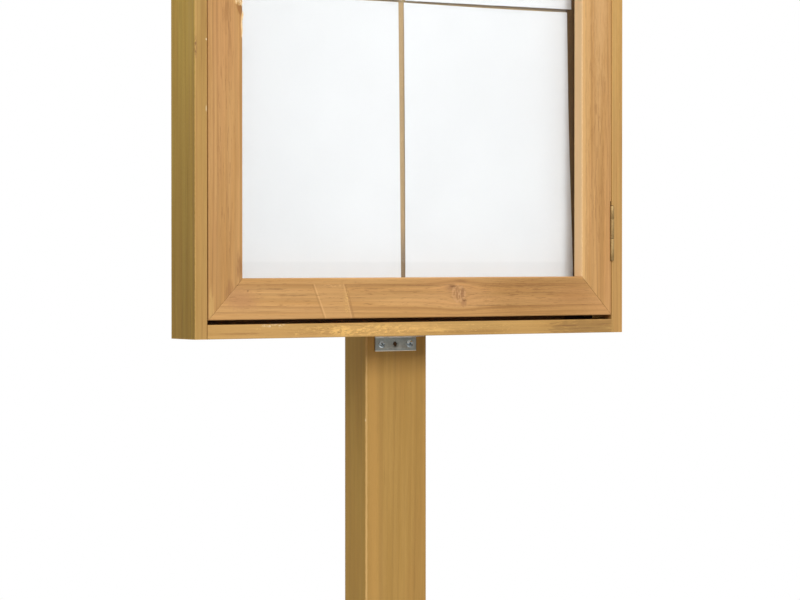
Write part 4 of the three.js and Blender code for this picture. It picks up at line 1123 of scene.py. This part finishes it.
# The finishes of the pieces made here. Metal tones are plain, dull and bright
ZINC_TONES = (172, 175, 168), (162, 165, 158), (196, 198, 194)
BRIGHT_ZINC_TONES = (196, 206, 208), (150, 158, 162), (236, 242, 242)
BRASSED_TONES = (170, 143, 96), (154, 129, 86), (186, 162, 116)
NICKEL_TONES = (186, 183, 174), (166, 163, 154), (214, 212, 205)
zinc = "zinc_steel", metal("zinc", ZINC_TONES, 0.42, 1.0)
bracket_zinc = "zinc_steel", metal("bracket zinc", ZINC_TONES, 0.46, 1.0, "angle_bracket")
screw_zinc = "zinc_steel", metal("bright zinc", BRIGHT_ZINC_TONES, 0.24, 4.0)
brassed = "brassed_steel", metal("brassed steel", BRASSED_TONES, 0.62, 2.0)
nickel = "nickel_plate", metal("nickel", NICKEL_TONES, 0.22, 3.0)
white_paper = "paper", paper()

for row_and_column, bow in (("row_2_column_1", upper_left_bow), ("row_2_column_2", upper_right_bow),
                            ("row_1_column_1", lower_left_bow), ("row_1_column_2", lower_right_bow)):
    sheet_piece("notice_sheet_" + row_and_column, bow, white_paper)

eased_copy("angle_bracket", "stand", bracket_zinc, 0.3)
eased_copy("lock_keeper", "stand", zinc, 0.25)
for level in ("lower", "upper"):
    eased_copy(f"hinge_{level}_case_leaf", "stand", brassed, 0.06)
    eased_copy(f"hinge_{level}_door_leaf", "door", brassed, 0.06)
    eased_copy(f"hinge_{level}_pin", "stand", brassed, 0.2)
eased_copy("lock_body", "door", nickel, 0.25)
eased_copy("lock_nut", "door", nickel, 0.5)
eased_copy("lock_plug", "lock_core", nickel, 0.15)
eased_copy("lock_cam", "lock_core", zinc, 0.25)
eased_copy("lock_cam_screw", "lock_core", zinc, 0.25)

bracket_screw = screw_form(3.3, 1.6, 1.0, 1.75, 25, 4.6, flange=1.18)
board_screw = screw_form(3.3, 1.6, 0.6, 1.75, 10, 4.2)
panel_screw = screw_form(4, 2.2, 0, 2.1, 40, 4.6)
hinge_case_screw = screw_form(2.6, 1.3, 0, 1.4, 11.5, 3.2)
hinge_door_screw = screw_form(2.6, 1.3, 0, 1.4, 15, 3.2)
for side, turn in (("left", 20), ("right", 62)):
    set_screw(bracket_screw, "bracket_post_screw_" + side, TO_BACK, turn, "stand", screw_zinc)
    set_screw(board_screw, "bracket_board_screw_" + side, UP, turn, "stand", screw_zinc)
for level in ("lower", "upper"):
    for turn, side in (10, "left"), (40, "right"):
        set_screw(panel_screw, f"panel_screw_{level}_{side}", TO_BACK, turn, "stand", zinc)
    for i, end in enumerate(("low", "high")):
        hinge = f"hinge_{level}_"
        set_screw(hinge_case_screw, f"{hinge}case_screw_{end}", TO_RIGHT, 40 * i + 15, "stand", brassed)
        set_screw(hinge_door_screw, f"{hinge}door_screw_{end}", -TO_RIGHT, 50 * i + 5, "door", brassed)
for turn, end in (0, "low"), (35, "high"):
    set_screw(hinge_case_screw, "keeper_screw_" + end, -TO_RIGHT, turn, "stand", zinc)
for form in (bracket_screw, board_screw, panel_screw, hinge_case_screw, hinge_door_screw):
    bpy.data.objects.remove(form)
